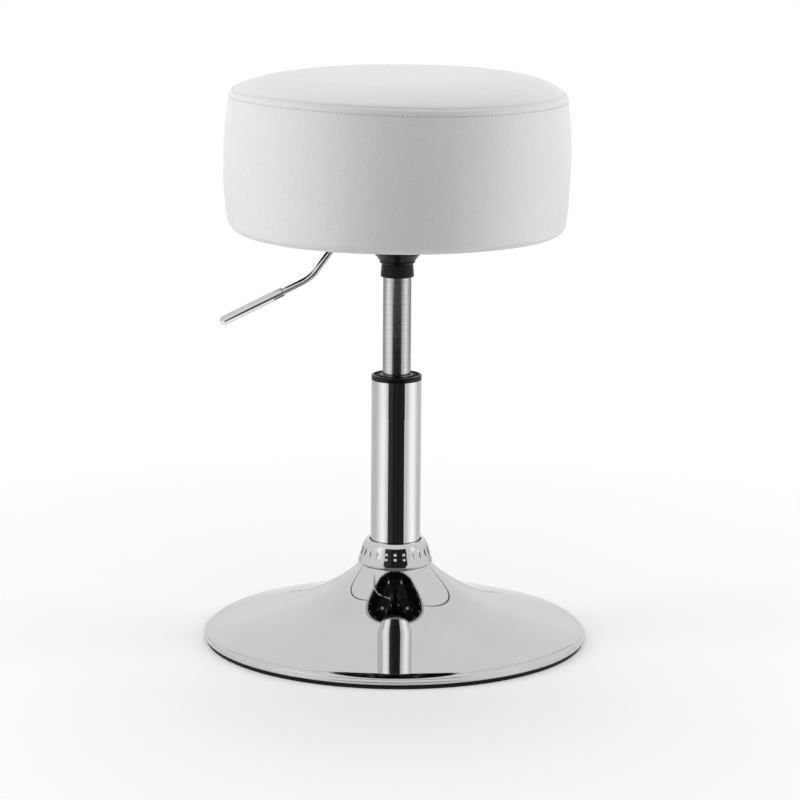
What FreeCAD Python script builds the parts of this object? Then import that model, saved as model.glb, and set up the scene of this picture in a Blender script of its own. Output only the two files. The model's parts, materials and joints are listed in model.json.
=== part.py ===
import FreeCAD
import Part
import Sketcher
import math
import os

# A round vanity stool: a white upholstered drum on a gas lift, with a chromed trumpet base.
# Millimetres. The floor is z = 0, the lift's axis is Z, and the lever points along -X.

# Driving dimensions. Every one becomes an aliased cell of the sheet.
SIZES = {
    # Trumpet base
    "base_diameter": 385.0,
    "floor_ring_height": 4.4,
    "floor_ring_inset": 2.5,
    "floor_ring_width": 30.0,
    "floor_ring_lip_width": 3.4,
    "floor_ring_lip_height": 3.0,
    "rim_bead_radius": 1.9,
    "rim_lip_width": 4.0,
    "rim_roll_width": 2.4,
    "rim_roll_height": 3.9,
    "rim_roll_radius": 4.0,
    "shell_wall": 1.2,
    "flare_slope": 40.0,
    "flare_tightness": 0.75,
    "neck_slope": 50.0,
    "neck_bend_radius": 80.0,
    "neck_height": 79.5,
    "neck_overhang": 8.5,
    "neck_tube_gap": 1.5,
    "ballast_inset": 22.5,
    "ballast_ledge": 3.0,
    "ballast_thickness": 3.5,
    "ballast_hole": 36.0,
    "socket_wall": 3.4,
    "socket_foot_width": 11.5,
    "socket_foot_thickness": 3.0,
    # Chromed ring over the joint of tube and base
    "trim_height": 23.6,
    "trim_overlap": 1.6,
    "trim_foot_overhang": 2.2,
    "trim_belt_overhang": 1.8,
    "trim_belt_rise": 1.7,
    "trim_tube_gap": 1.2,
    "trim_top_width": 3.0,
    "trim_shoulder_out": 3.4,
    "trim_shoulder_drop": 6.2,
    "trim_shoulder_radius": 18.0,
    "trim_wall": 1.8,
    "notch_count": 24.0,
    "notch_length": 9.0,
    "notch_width": 2.8,
    "notch_depth": 0.7,
    "notch_rise": 11.0,
    # Standing tube of the lift
    "tube_diameter": 50.0,
    "tube_wall": 1.5,
    "tube_length": 244.5,
    "tube_above_ballast": 13.5,
    "tube_floor": 4.0,
    "tube_floor_hole": 9.4,
    "taper_length": 55.0,
    "taper_drop": 1.0,
    "cap_height": 5.0,
    "cap_edge": 1.2,
    "cap_spigot": 8.0,
    "cap_inner_wall": 3.0,
    "cap_outer_wall": 2.5,
    "cap_groove_depth": 1.4,
    "cap_rib_count": 16.0,
    "cap_rib_width": 1.4,
    "guide_length": 80.0,
    # Gas cylinder, rod and thrust bearing
    "column_diameter": 28.0,
    "column_showing": 98.5,
    "column_inside": 114.5,
    "column_in_hub": 28.0,
    "column_taper_length": 20.0,
    "column_taper_drop": 0.6,
    "column_wall": 2.5,
    "column_end_wall": 8.0,
    "column_rolled_lip": 1.5,
    "gland_height": 11.5,
    "rod_diameter": 10.0,
    "rod_tail_diameter": 8.0,
    "rod_tail_end": 3.0,
    "piston_height": 12.0,
    "seal_section": 2.4,
    "race_inner": 12.0,
    "race_outer": 22.0,
    "race_thickness": 2.5,
    "ball_diameter": 4.0,
    "ball_count": 8.0,
    "cage_thickness": 1.8,
    "rod_washer_thickness": 1.5,
    "bumper_height": 11.0,
    "bumper_diameter": 24.0,
    "clip_thickness": 1.2,
    "clip_diameter": 16.0,
    "clip_groove_depth": 0.8,
    "clip_mouth": 5.0,
    "valve_height": 18.0,
    "valve_pin_diameter": 7.8,
    "valve_pin_length": 27.1,
    "valve_pin_crown": 0.8,
    # Hub under the seat
    "collar_height": 12.3,
    "collar_wall": 2.6,
    "collar_draw_in": 0.9,
    "collar_edge": 1.0,
    "hub_wall": 2.6,
    "hub_lip_width": 1.0,
    "hub_lip_height": 3.8,
    "hub_height": 17.5,
    "bell_neck_wall": 1.3,
    "bell_bend_width": 5.6,
    "bell_bend_height": 6.6,
    "bell_bend_radius": 30.0,
    "bell_cone_width": 16.5,
    "bell_wall": 2.0,
    "bell_flange_width": 8.0,
    "bell_flange_thickness": 2.5,
    "bell_window_width": 22.0,
    "bell_window_sill": 9.0,
    "seat_plate_side": 150.0,
    "seat_plate_corner": 14.0,
    "seat_plate_thickness": 2.5,
    "seat_plate_hole": 30.0,
    "bolt_edge_distance": 20.0,
    "bolt_hole": 6.8,
    "bolt_diameter": 6.0,
    "bolt_head_flats": 10.0,
    "bolt_head_height": 4.0,
    "bolt_washer_diameter": 13.0,
    "bolt_washer_thickness": 1.2,
    "tnut_barrel_diameter": 9.6,
    "tnut_flange_diameter": 18.6,
    "tnut_flange_thickness": 1.2,
    "tnut_barrel_length": 10.5,
    # Release lever
    "lever_above_column": 7.0,
    "lever_below_plate": 9.5,
    "lever_diameter": 6.5,
    "lever_tip_reach": 4.0,
    "lever_pivot_clear": 9.4,
    "lever_elbow_clear": 31.6,
    "lever_drop_angle": 48.5,
    "lever_drop_length": 56.0,
    "lever_grip_angle": 26.8,
    "lever_bend_inner": 10.0,
    "lever_bend_outer": 25.0,
    "paddle_width": 9.0,
    "paddle_length": 20.0,
    "paddle_thickness": 3.0,
    "boss_diameter": 11.0,
    "boss_length": 10.0,
    "pivot_pin_diameter": 5.0,
    "pivot_pin_head": 8.0,
    "pivot_pin_head_thickness": 1.2,
    "bracket_sheet": 2.5,
    "bracket_length": 16.0,
    "bracket_ear_drop": 5.5,
    "grip_start": 20.5,
    "grip_length": 69.5,
    "grip_diameter": 9.5,
    "grip_wall_end": 5.0,
    "grip_edge": 0.6,
    # Upholstered seat
    "cover_thickness": 1.2,
    "dust_cover_thickness": 0.6,
    "dust_cover_inset": 16.6,
    "board_thickness": 15.0,
    "board_gap": 10.6,
    "board_edge": 4.0,
    "seat_diameter": 333.2,
    "seam_draw_in": 2.6,
    "side_height": 134.7,
    "barrel_bulge": 4.9,
    "foot_height": 10.4,
    "foot_corner_radius": 13.0,
    "foot_turn_under": 30.0,
    "crown_height": 18.3,
    "crown_shoulder_radius": 84.0,
    "crown_shoulder_width": 51.0,
    "crown_shoulder_height": 17.1,
    "seam_allowance": 9.0,
    # Clearances
    "running_gap": 0.05,
    "seat_gap": 0.2,
    "soft_gap": 0.3,
}
LEFT, RIGHT = 1, -1

doc = FreeCAD.newDocument("vanity_stool")
sheet = doc.addObject("Spreadsheet::Sheet", "Sheet")
for row, (alias, number) in enumerate(SIZES.items(), start=1):
    sheet.set(f"A{row}", alias)
    sheet.set(f"B{row}", str(number))
    sheet.setAlias(f"B{row}", alias)
doc.recompute()


class Dim:
    """A size with two sides: its value now, and the expression that ties it to the sheet."""

    def __init__(self, value, text):
        self.value = float(value)
        self.text = text

    def _with(self, other, sign, value):
        text = other.text if isinstance(other, Dim) else repr(float(other))
        return Dim(value, f"({self.text} {sign} {text})")

    def __add__(self, other):
        return self._with(other, "+", self.value + float(other))

    def __sub__(self, other):
        return self._with(other, "-", self.value - float(other))

    def __mul__(self, other):
        return self._with(other, "*", self.value * float(other))

    def __truediv__(self, other):
        return self._with(other, "/", self.value / float(other))

    def __neg__(self):
        return Dim(-self.value, f"(0 - {self.text})")

    def __float__(self):
        return self.value


ZERO = Dim(0.0, "0")


def size(alias):
    """The sheet's cell of that name."""
    return Dim(sheet.get(alias), f"Sheet.{alias}")


def half(alias):
    """Half of a cell, as for the radius of a diameter."""
    return size(alias) / 2


def cosine(angle):
    return Dim(math.cos(math.radians(float(angle))), f"cos({angle.text})")


def sine(angle):
    return Dim(math.sin(math.radians(float(angle))), f"sin({angle.text})")


def half_tangent(angle):
    """Tangent of half an angle, which sets where a bend of a given radius starts."""
    return Dim(math.tan(math.radians(float(angle) / 2)), f"tan({angle.text} / 2)")


def angle_of(rise, run):
    """The angle whose tangent is rise over run."""
    return Dim(math.degrees(math.atan(float(rise) / float(run))), f"atan({rise.text} / {run.text})")


def arc_cosine(ratio):
    return Dim(math.degrees(math.acos(float(ratio))), f"acos({ratio.text})")


def root(square):
    return Dim(math.sqrt(float(square)), f"sqrt({square.text})")


# Levels that several pieces share, from the floor up
RUN, SEAT, SOFT = size("running_gap"), size("seat_gap"), size("soft_gap")
BASE_R = half("base_diameter")
STEP_R = BASE_R - size("rim_lip_width")
LIP_TOP = size("floor_ring_height") + size("rim_bead_radius") * 2
RIM_R = STEP_R - size("rim_roll_width")
RIM_TOP = LIP_TOP + size("rim_roll_height")
NECK_R = half("tube_diameter") + size("neck_overhang")
BALLAST_TOP = size("ballast_ledge") + size("ballast_thickness")
SOCKET_TOP = size("neck_height") - size("shell_wall")
TUBE_R = half("tube_diameter")
TUBE_BORE = TUBE_R - size("tube_wall")
TUBE_BOTTOM = BALLAST_TOP + size("tube_above_ballast")
TUBE_FLOOR_TOP = TUBE_BOTTOM + size("tube_floor")
TUBE_TOP = TUBE_BOTTOM + size("tube_length")
CAP_TOP = TUBE_TOP + size("cap_height")
COLUMN_R = half("column_diameter")
COLUMN_BORE = COLUMN_R - size("column_wall")
COLUMN_BOTTOM = CAP_TOP - size("column_inside")
COLLAR_BOTTOM = CAP_TOP + size("column_showing")
HUB_R = COLUMN_R + size("hub_wall")
COLUMN_TOP = COLLAR_BOTTOM + size("column_in_hub")
COLUMN_TOP_R = COLUMN_R - size("column_taper_drop")
GLAND_BOTTOM = COLUMN_BOTTOM + size("column_rolled_lip")
GLAND_TOP = GLAND_BOTTOM + size("gland_height")
PISTON_BOTTOM = GLAND_TOP + SOFT
PISTON_TOP = PISTON_BOTTOM + size("piston_height")
RACE_TOP = TUBE_FLOOR_TOP + size("race_thickness")
BALL_MIDDLE = RACE_TOP + RUN + half("ball_diameter")
UPPER_RACE_BOTTOM = BALL_MIDDLE + half("ball_diameter") + RUN
UPPER_RACE_TOP = UPPER_RACE_BOTTOM + size("race_thickness")
ROD_SHOULDER = UPPER_RACE_TOP + size("rod_washer_thickness")
CLIP_TOP = TUBE_BOTTOM - SEAT
CLIP_BOTTOM = CLIP_TOP - size("clip_thickness")
HUB_BOTTOM = COLLAR_BOTTOM + size("collar_height") + SEAT
HUB_LIP_TOP = HUB_BOTTOM + size("hub_lip_height")
LEVER_Z = COLUMN_TOP + size("lever_above_column")
PIVOT_X = -(HUB_R + size("lever_pivot_clear"))
PLATE_BOTTOM = LEVER_Z + size("lever_below_plate")
PLATE_TOP = PLATE_BOTTOM + size("seat_plate_thickness")
BOARD_BOTTOM = PLATE_TOP + size("dust_cover_thickness")
BOARD_TOP = BOARD_BOTTOM + size("board_thickness")
FOOT_R = half("seat_diameter")
FOOT_Z = BOARD_BOTTOM + size("foot_height")
BOARD_R = FOOT_R - size("board_gap")
TURN_UNDER_BOTTOM = BOARD_BOTTOM - size("cover_thickness")
SEAM_R = FOOT_R - size("seam_draw_in")
SEAM_Z = BOARD_BOTTOM + size("side_height")
CROWN_TOP = SEAM_Z + size("crown_height")
SHOULDER_R = SEAM_R - size("crown_shoulder_width")
SHOULDER_Z = SEAM_Z + size("crown_shoulder_height")
CROWN_RISE = size("crown_height") - size("crown_shoulder_height")
BOLT_X = half("seat_plate_side") - size("bolt_edge_distance")
BOLT_COUNT = Dim(4, "4")
HEX_HALF_ANGLE = Dim(30, "30")


def arc_of_rise(half_span, rise):
    """Radius of the arc that rises that far over the middle of a span."""
    return (half_span * half_span + rise * rise) / (rise * 2)


CROWN_ARC = arc_of_rise(SHOULDER_R, CROWN_RISE)
BARREL_ARC = arc_of_rise((SEAM_Z - FOOT_Z) / 2, size("barrel_bulge"))


def vector(x, y, z=0.0):
    return FreeCAD.Vector(float(x), float(y), float(z))


def make_body(label):
    body = doc.addObject("PartDesign::Body", label)
    body.Label = label
    return body


def sketch_on(body, plane, offset=None):
    """A sketch on one of the body's own origin planes, moved along its normal by offset."""
    sketch = body.newObject("Sketcher::SketchObject", body.Label + "_sketch")
    origin_plane = next(f for f in body.Origin.OriginFeatures if f.Role == plane)
    sketch.AttachmentSupport = (origin_plane, [""])
    sketch.MapMode = "FlatFace"
    if offset is not None:
        sketch.AttachmentOffset = FreeCAD.Placement(vector(0, 0, offset), FreeCAD.Rotation())
        sketch.setExpression("AttachmentOffset.Base.z", offset.text)
    return sketch


def bind(sketch, index, dim):
    sketch.setExpression(f"Constraints[{index}]", dim.text)


def pin_point(sketch, geometry, end, corner):
    """Ties a point to the sketch's origin by its two coordinates."""
    for kind, axis, dim in (("DistanceX", -2, corner[0]), ("DistanceY", -1, corner[1])):
        if dim is ZERO:
            sketch.addConstraint(Sketcher.Constraint("PointOnObject", geometry, end, axis))
        elif float(dim) >= 0:
            spot = Sketcher.Constraint(kind, -1, 1, geometry, end, float(dim))
            bind(sketch, sketch.addConstraint(spot), dim)
        else:
            spot = Sketcher.Constraint(kind, geometry, end, -1, 1, -float(dim))
            bind(sketch, sketch.addConstraint(spot), -dim)


def arc_centre(start, stop, radius, side):
    """Centre of the short arc from start to stop, on the left or right of the way between them."""
    chord = stop - start
    away = math.sqrt(radius * radius - chord.Length * chord.Length / 4)
    across = vector(-chord.y, chord.x) / chord.Length
    return (start + stop) / 2 + across * (away * side)


def draw_outline(sketch, corners, closed=True):
    """Lines and arcs from corner to corner. A corner is (x, y), reached by a line,
    or (x, y, radius, side), reached by an arc with its centre on that side."""
    spots = [vector(c[0], c[1]) for c in corners]
    ends = []
    for i in range(len(corners) if closed else len(corners) - 1):
        j = (i + 1) % len(corners)
        if len(corners[j]) == 2:
            line = sketch.addGeometry(Part.LineSegment(spots[i], spots[j]))
            ends.append((line, 1, 2))
            continue
        radius, side = corners[j][2:]
        centre = arc_centre(spots[i], spots[j], float(radius), side)
        turn = [math.atan2(p.y - centre.y, p.x - centre.x) for p in (spots[i], spots[j])]
        first, last = turn if side == LEFT else reversed(turn)
        circle = Part.Circle(centre, vector(0, 0, 1), float(radius))
        curve = sketch.addGeometry(Part.ArcOfCircle(circle, first, last))
        ends.append((curve, 1, 2) if side == LEFT else (curve, 2, 1))
        bend = Sketcher.Constraint("Radius", curve, float(radius))
        bind(sketch, sketch.addConstraint(bend), radius)
    for i, (geometry, start, stop) in enumerate(ends):
        follower = ends[(i + 1) % len(ends)]
        if closed or i + 1 < len(ends):
            joint = Sketcher.Constraint("Coincident", geometry, stop, follower[0], follower[1])
            sketch.addConstraint(joint)
        else:
            pin_point(sketch, geometry, stop, corners[-1])
        pin_point(sketch, geometry, start, corners[i])


def draw_circle(sketch, x, y, radius):
    circle = sketch.addGeometry(Part.Circle(vector(x, y), vector(0, 0, 1), float(radius)))
    bind(sketch, sketch.addConstraint(Sketcher.Constraint("Radius", circle, float(radius))), radius)
    pin_point(sketch, circle, 3, (x, y))


def revolve(body, sketch):
    feature = body.newObject("PartDesign::Revolution", body.Label + "_turn")
    feature.Profile = sketch
    feature.ReferenceAxis = (sketch, ["V_Axis"])
    feature.Angle = 360.0
    doc.recompute()
    return feature


def extrude(body, sketch, length, kind="Pad", both_ways=False, reverse=False):
    """A Pad or a Pocket of a bound length. It recomputes, so that later features can read it."""
    feature = body.newObject("PartDesign::" + kind, f"{body.Label}_{kind.lower()}")
    feature.Profile = sketch
    feature.Length = float(length)
    feature.setExpression("Length", length.text)
    feature.Midplane = both_ways
    feature.Reversed = reverse
    doc.recompute()
    return feature


def ring_pattern(body, feature, count):
    """Repeats a feature evenly round the Z axis."""
    pattern = body.newObject("PartDesign::PolarPattern", body.Label + "_ring")
    pattern.Originals = [feature]
    pattern.Axis = (next(f for f in body.Origin.OriginFeatures if f.Role == "Z_Axis"), [""])
    pattern.Angle = 360.0
    pattern.Occurrences = int(float(count))
    pattern.setExpression("Occurrences", count.text)
    body.Tip = pattern
    doc.recompute()
    return pattern


def turned(label, corners):
    """A piece turned about the Z axis from an outline of radius and height."""
    body = make_body(label)
    sketch = sketch_on(body, "XZ_Plane")
    draw_outline(sketch, corners)
    revolve(body, sketch)
    return body


def block(inner, outer, bottom, top):
    """The outline of a plain ring."""
    return [(inner, bottom), (outer, bottom), (outer, top), (inner, top)]


def cut_bolt_holes(body, diameter, bottom, depth):
    """Four holes on the bolts' square, cut upwards from a level."""
    sketch = sketch_on(body, "XY_Plane", bottom)
    draw_circle(sketch, BOLT_X, BOLT_X, diameter / 2)
    hole = extrude(body, sketch, depth, "Pocket", reverse=True)
    ring_pattern(body, hole, BOLT_COUNT)


def trumpet_curve():
    """The trumpet's curve from the neck out: a tight bend, a wide flare and a straight skirt to the rim.
    Gives the flare's radius, the skirt's slope, and the points where bend, flare and skirt meet."""
    tight, steep, gentle = size("neck_bend_radius"), size("neck_slope"), size("flare_slope")
    bend = (NECK_R + tight * (sine(steep) - sine(gentle)),
            size("neck_height") - tight * (cosine(gentle) - cosine(steep)))
    out, down = RIM_R - bend[0], bend[1] - RIM_TOP
    reach = (out * out + down * down) / ((out * sine(gentle) - down * cosine(gentle)) * 2)
    wide = reach * size("flare_tightness")
    middle = (bend[0] + wide * sine(gentle), bend[1] + wide * cosine(gentle))
    beyond, above = middle[0] - RIM_R, middle[1] - RIM_TOP
    slope = angle_of(beyond, above) + arc_cosine(wide / root(beyond * beyond + above * above))
    skirt = (middle[0] - wide * sine(slope), middle[1] - wide * cosine(slope))
    return wide, slope, bend, skirt


def base_shell():
    """Spun trumpet: a flat neck that rests on the tube's socket, a flared skirt, and a rim that
    rolls down to a beaded lip."""
    wall, bead, tight = size("shell_wall"), size("rim_bead_radius"), size("neck_bend_radius")
    bore = TUBE_R + size("neck_tube_gap")
    neck_z, edge_z, nose = size("neck_height"), size("floor_ring_height"), BASE_R - bead
    steep, gentle = size("neck_slope"), size("flare_slope")
    wide, slope, bend, skirt = trumpet_curve()
    return turned("base_shell", [
        (bore, neck_z),
        (bore, neck_z - wall),
        (NECK_R - wall * half_tangent(steep), neck_z - wall),
        (bend[0] - wall * sine(gentle), bend[1] - wall * cosine(gentle), tight + wall, LEFT),
        (skirt[0] - wall * sine(slope), skirt[1] - wall * cosine(slope), wide + wall, LEFT),
        (RIM_R - wall, RIM_TOP - wall * (-sine(slope) + 1.0) / cosine(slope)),
        (RIM_R - wall, edge_z),
        (nose, edge_z),
        (BASE_R, edge_z + bead, bead, LEFT),
        (nose, LIP_TOP, bead, LEFT),
        (STEP_R, LIP_TOP),
        (RIM_R, RIM_TOP, size("rim_roll_radius"), LEFT),
        skirt,
        (*bend, wide, RIGHT),
        (NECK_R, neck_z, tight, RIGHT),
    ])


def floor_ring():
    outer = BASE_R - size("floor_ring_inset")
    inner = BASE_R - size("floor_ring_width")
    ballast = BASE_R - size("ballast_inset") + SEAT
    lip_outer = RIM_R - size("shell_wall") - SEAT
    lip_inner = lip_outer - size("floor_ring_lip_width")
    top = size("floor_ring_height")
    lip_top = top + size("floor_ring_lip_height")
    return turned("floor_ring", [
        (inner, ZERO),
        (outer, ZERO),
        (outer, top),
        (lip_outer, top),
        (lip_outer, lip_top),
        (lip_inner, lip_top),
        (lip_inner, top),
        (ballast, top),
        (ballast, size("ballast_ledge")),
        (inner, size("ballast_ledge")),
    ])


def ballast_plate():
    outer = BASE_R - size("ballast_inset")
    return turned("ballast_plate", block(half("ballast_hole"), outer, size("ballast_ledge"), BALLAST_TOP))


def tube_socket():
    narrow = TUBE_R - size("taper_drop") + RUN
    wide = TUBE_R + RUN
    outer = wide + size("socket_wall")
    foot = outer + size("socket_foot_width")
    foot_top = BALLAST_TOP + size("socket_foot_thickness")
    return turned("tube_socket", [
        (narrow, BALLAST_TOP),
        (foot, BALLAST_TOP),
        (foot, foot_top),
        (outer, foot_top),
        (outer, SOCKET_TOP),
        (wide, SOCKET_TOP),
        (wide, TUBE_BOTTOM + size("taper_length")),
        (narrow, TUBE_BOTTOM),
    ])


def trim_levels():
    """Radius and height of the trim ring's foot, widest belt, shoulder and top edge."""
    foot = (NECK_R + size("trim_foot_overhang"), size("neck_height") - size("trim_overlap"))
    belt = (foot[0] + size("trim_belt_overhang"), foot[1] + size("trim_belt_rise"))
    top = (TUBE_R + size("trim_tube_gap") + size("trim_top_width"), foot[1] + size("trim_height"))
    shoulder = (top[0] + size("trim_shoulder_out"), top[1] - size("trim_shoulder_drop"))
    return foot, belt, shoulder, top


def trim_ring():
    """Hollow ring that covers the joint of tube and neck, with notches for the fingers."""
    wall, bore = size("trim_wall"), TUBE_R + size("trim_tube_gap")
    (foot, foot_z), (belt, belt_z), (shoulder, shoulder_z), (top, top_z) = trim_levels()
    body = turned("trim_ring", [
        (bore, top_z),
        (bore, top_z - wall),
        (top - wall / 2, top_z - wall),
        (shoulder - wall, shoulder_z),
        (foot - wall / 2, belt_z + wall / 2),
        (foot - wall / 4, foot_z),
        (foot, foot_z),
        (belt, belt_z, wall, LEFT),
        (shoulder, shoulder_z),
        (top, top_z, size("trim_shoulder_radius"), LEFT),
    ])
    cut_notches(body)
    return body


def cut_notches(body):
    """Shallow notches, as a disc cutter leaves them, square to the slope of the ring's flank."""
    _, belt, shoulder, _ = trim_levels()
    out, up = belt[0] - shoulder[0], shoulder[1] - belt[1]
    lean = angle_of(out, up)
    rise = size("notch_rise")
    flank = (belt[0] - out * rise / up, belt[1] + rise)
    cutter = arc_of_rise(half("notch_length"), size("notch_depth"))
    reach = cutter - size("notch_depth")
    sketch = sketch_on(body, "XZ_Plane")
    draw_circle(sketch, flank[0] + reach * cosine(lean), flank[1] + reach * sine(lean), cutter)
    notch = extrude(body, sketch, size("notch_width"), "Pocket", both_ways=True)
    ring_pattern(body, notch, size("notch_count"))


def outer_tube():
    narrow = TUBE_R - size("taper_drop")
    return turned("outer_tube", [
        (half("tube_floor_hole"), TUBE_BOTTOM),
        (narrow, TUBE_BOTTOM),
        (TUBE_R, TUBE_BOTTOM + size("taper_length")),
        (TUBE_R, TUBE_TOP),
        (TUBE_BORE, TUBE_TOP),
        (TUBE_BORE, TUBE_BOTTOM + size("taper_length")),
        (narrow - size("tube_wall"), TUBE_FLOOR_TOP),
        (half("tube_floor_hole"), TUBE_FLOOR_TOP),
    ])


def tube_cap():
    bore, edge = COLUMN_R + SEAT, size("cap_edge")
    spigot, spigot_z = TUBE_BORE - RUN, TUBE_TOP - size("cap_spigot")
    groove_in, groove_out = COLUMN_R + size("cap_inner_wall"), TUBE_R - size("cap_outer_wall")
    groove_z = CAP_TOP - size("cap_groove_depth")
    body = turned("tube_cap", [
        (bore, spigot_z),
        (spigot, spigot_z),
        (spigot, TUBE_TOP),
        (TUBE_R, TUBE_TOP),
        (TUBE_R, CAP_TOP - edge),
        (TUBE_R - edge, CAP_TOP, edge, LEFT),
        (groove_out, CAP_TOP),
        (groove_out, groove_z),
        (groove_in, groove_z),
        (groove_in, CAP_TOP),
        (bore, CAP_TOP),
    ])
    rib = sketch_on(body, "XY_Plane", groove_z)
    side = half("cap_rib_width")
    draw_outline(rib, [
        (groove_in - edge, -side),
        (groove_out + edge, -side),
        (groove_out + edge, side),
        (groove_in - edge, side),
    ])
    ring_pattern(body, extrude(body, rib, size("cap_groove_depth") / 2), size("cap_rib_count"))
    return body


def guide_sleeve():
    top = TUBE_TOP - size("cap_spigot")
    return turned("guide_sleeve", block(COLUMN_R + RUN, TUBE_BORE - RUN, top - size("guide_length"), top))


def bearing_races():
    bore, outer = half("race_inner"), half("race_outer")
    return [
        turned("bearing_lower_race", block(bore, outer, TUBE_FLOOR_TOP, RACE_TOP)),
        turned("bearing_upper_race", block(bore, outer, UPPER_RACE_BOTTOM, UPPER_RACE_TOP)),
    ]


def bearing_pitch():
    return (half("race_inner") + half("race_outer")) / 2


def bearing_balls():
    """The balls of the thrust bearing, each a solid of its own."""
    body = make_body("bearing_balls")
    body.AllowCompound = True
    radius = half("ball_diameter")
    sketch = sketch_on(body, "XZ_Plane")
    sketch.AttachmentOffset = FreeCAD.Placement(
        vector(bearing_pitch(), BALL_MIDDLE), FreeCAD.Rotation())
    sketch.setExpression("AttachmentOffset.Base.x", bearing_pitch().text)
    sketch.setExpression("AttachmentOffset.Base.y", BALL_MIDDLE.text)
    draw_outline(sketch, [
        (ZERO, -radius),
        (radius, ZERO, radius, LEFT),
        (ZERO, radius, radius, LEFT),
    ])
    ring_pattern(body, revolve(body, sketch), size("ball_count"))
    return body


def bearing_cage():
    """A flat ring with a pocket for each ball."""
    bottom = BALL_MIDDLE - size("cage_thickness") / 2
    body = turned("bearing_cage", block(
        half("race_inner") + RUN, half("race_outer") - RUN, bottom, bottom + size("cage_thickness")))
    sketch = sketch_on(body, "XY_Plane", bottom)
    draw_circle(sketch, bearing_pitch(), ZERO, half("ball_diameter") + RUN)
    hole = extrude(body, sketch, size("cage_thickness"), "Pocket", reverse=True)
    ring_pattern(body, hole, size("ball_count"))
    return body


def piston_rod():
    rod, tail = half("rod_diameter"), half("rod_tail_diameter")
    groove = tail - size("clip_groove_depth")
    tail_end = CLIP_BOTTOM - size("rod_tail_end")
    return turned("piston_rod", [
        (ZERO, tail_end),
        (tail, tail_end),
        (tail, CLIP_BOTTOM),
        (groove, CLIP_BOTTOM),
        (groove, CLIP_TOP),
        (tail, CLIP_TOP),
        (tail, ROD_SHOULDER),
        (rod, ROD_SHOULDER),
        (rod, PISTON_BOTTOM),
        (tail, PISTON_BOTTOM),
        (tail, PISTON_TOP),
        (ZERO, PISTON_TOP),
    ])


def rod_fittings():
    """Washer and rubber bumper that the rod's shoulder carries above the bearing."""
    tail, rod = half("rod_tail_diameter"), half("rod_diameter")
    return [
        turned("rod_washer", block(tail + RUN, half("race_outer"), UPPER_RACE_TOP, ROD_SHOULDER)),
        turned("rod_bumper", block(
            rod + RUN, half("bumper_diameter"), ROD_SHOULDER, ROD_SHOULDER + size("bumper_height"))),
    ]


def rod_clip():
    """An open spring clip in the groove of the rod's tail."""
    inner = half("rod_tail_diameter") - size("clip_groove_depth") + RUN
    body = turned("rod_clip", block(inner, half("clip_diameter"), CLIP_BOTTOM, CLIP_TOP))
    mouth = sketch_on(body, "XY_Plane", CLIP_BOTTOM)
    side = half("clip_mouth")
    draw_outline(mouth, [
        (ZERO, -side), (size("clip_diameter"), -side), (size("clip_diameter"), side), (ZERO, side)])
    extrude(body, mouth, size("clip_thickness"), "Pocket", reverse=True)
    return body


def piston():
    """Piston with a groove for its seal, pressed on the rod's tail."""
    tail, outer = half("rod_tail_diameter"), COLUMN_BORE - RUN
    section = size("seal_section")
    middle = (PISTON_BOTTOM + PISTON_TOP) / 2
    floor = outer - section
    return turned("piston", [
        (tail, PISTON_BOTTOM),
        (outer, PISTON_BOTTOM),
        (outer, middle - section / 2 - RUN),
        (floor, middle - section / 2 - RUN),
        (floor, middle + section / 2 + RUN),
        (outer, middle + section / 2 + RUN),
        (outer, PISTON_TOP),
        (tail, PISTON_TOP),
    ])


def seal_ring(label, centre_radius, height):
    """A round-section seal, as a torus."""
    ring = doc.addObject("Part::Torus", label)
    ring.Label = label
    section = half("seal_section")
    ring.Radius1, ring.Radius2 = float(centre_radius), float(section)
    ring.setExpression("Radius1", centre_radius.text)
    ring.setExpression("Radius2", section.text)
    ring.Placement.Base = vector(0, 0, height)
    ring.setExpression("Placement.Base.z", height.text)
    return ring


def seals():
    section = half("seal_section")
    piston_middle = (PISTON_BOTTOM + PISTON_TOP) / 2
    gland_middle = (GLAND_BOTTOM + GLAND_TOP) / 2
    return [
        seal_ring("piston_seal", COLUMN_BORE - RUN - section, piston_middle),
        seal_ring("rod_seal", half("rod_diameter") + RUN + section, gland_middle),
    ]


def gas_cylinder():
    """The sliding column: a pressure tube, tapered at the top where the hub grips it."""
    lip = COLUMN_BORE - size("column_rolled_lip")
    end_z = COLUMN_TOP - size("column_end_wall")
    hole = half("valve_pin_diameter") + RUN
    return turned("gas_cylinder", [
        (lip, COLUMN_BOTTOM),
        (COLUMN_R, COLUMN_BOTTOM),
        (COLUMN_R, COLUMN_TOP - size("column_taper_length")),
        (COLUMN_TOP_R, COLUMN_TOP),
        (hole, COLUMN_TOP),
        (hole, end_z),
        (COLUMN_BORE, end_z),
        (COLUMN_BORE, GLAND_BOTTOM),
        (lip, GLAND_BOTTOM),
    ])


def rod_gland():
    """Guide for the rod at the column's foot, with a groove for the rod's seal."""
    rod, outer = half("rod_diameter") + RUN, COLUMN_BORE - RUN
    section = size("seal_section")
    middle = (GLAND_BOTTOM + GLAND_TOP) / 2
    floor = rod + section
    return turned("rod_gland", [
        (rod, GLAND_BOTTOM),
        (outer, GLAND_BOTTOM),
        (outer, GLAND_TOP),
        (rod, GLAND_TOP),
        (rod, middle + section / 2 + RUN),
        (floor, middle + section / 2 + RUN),
        (floor, middle - section / 2 - RUN),
        (rod, middle - section / 2 - RUN),
    ])


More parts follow.
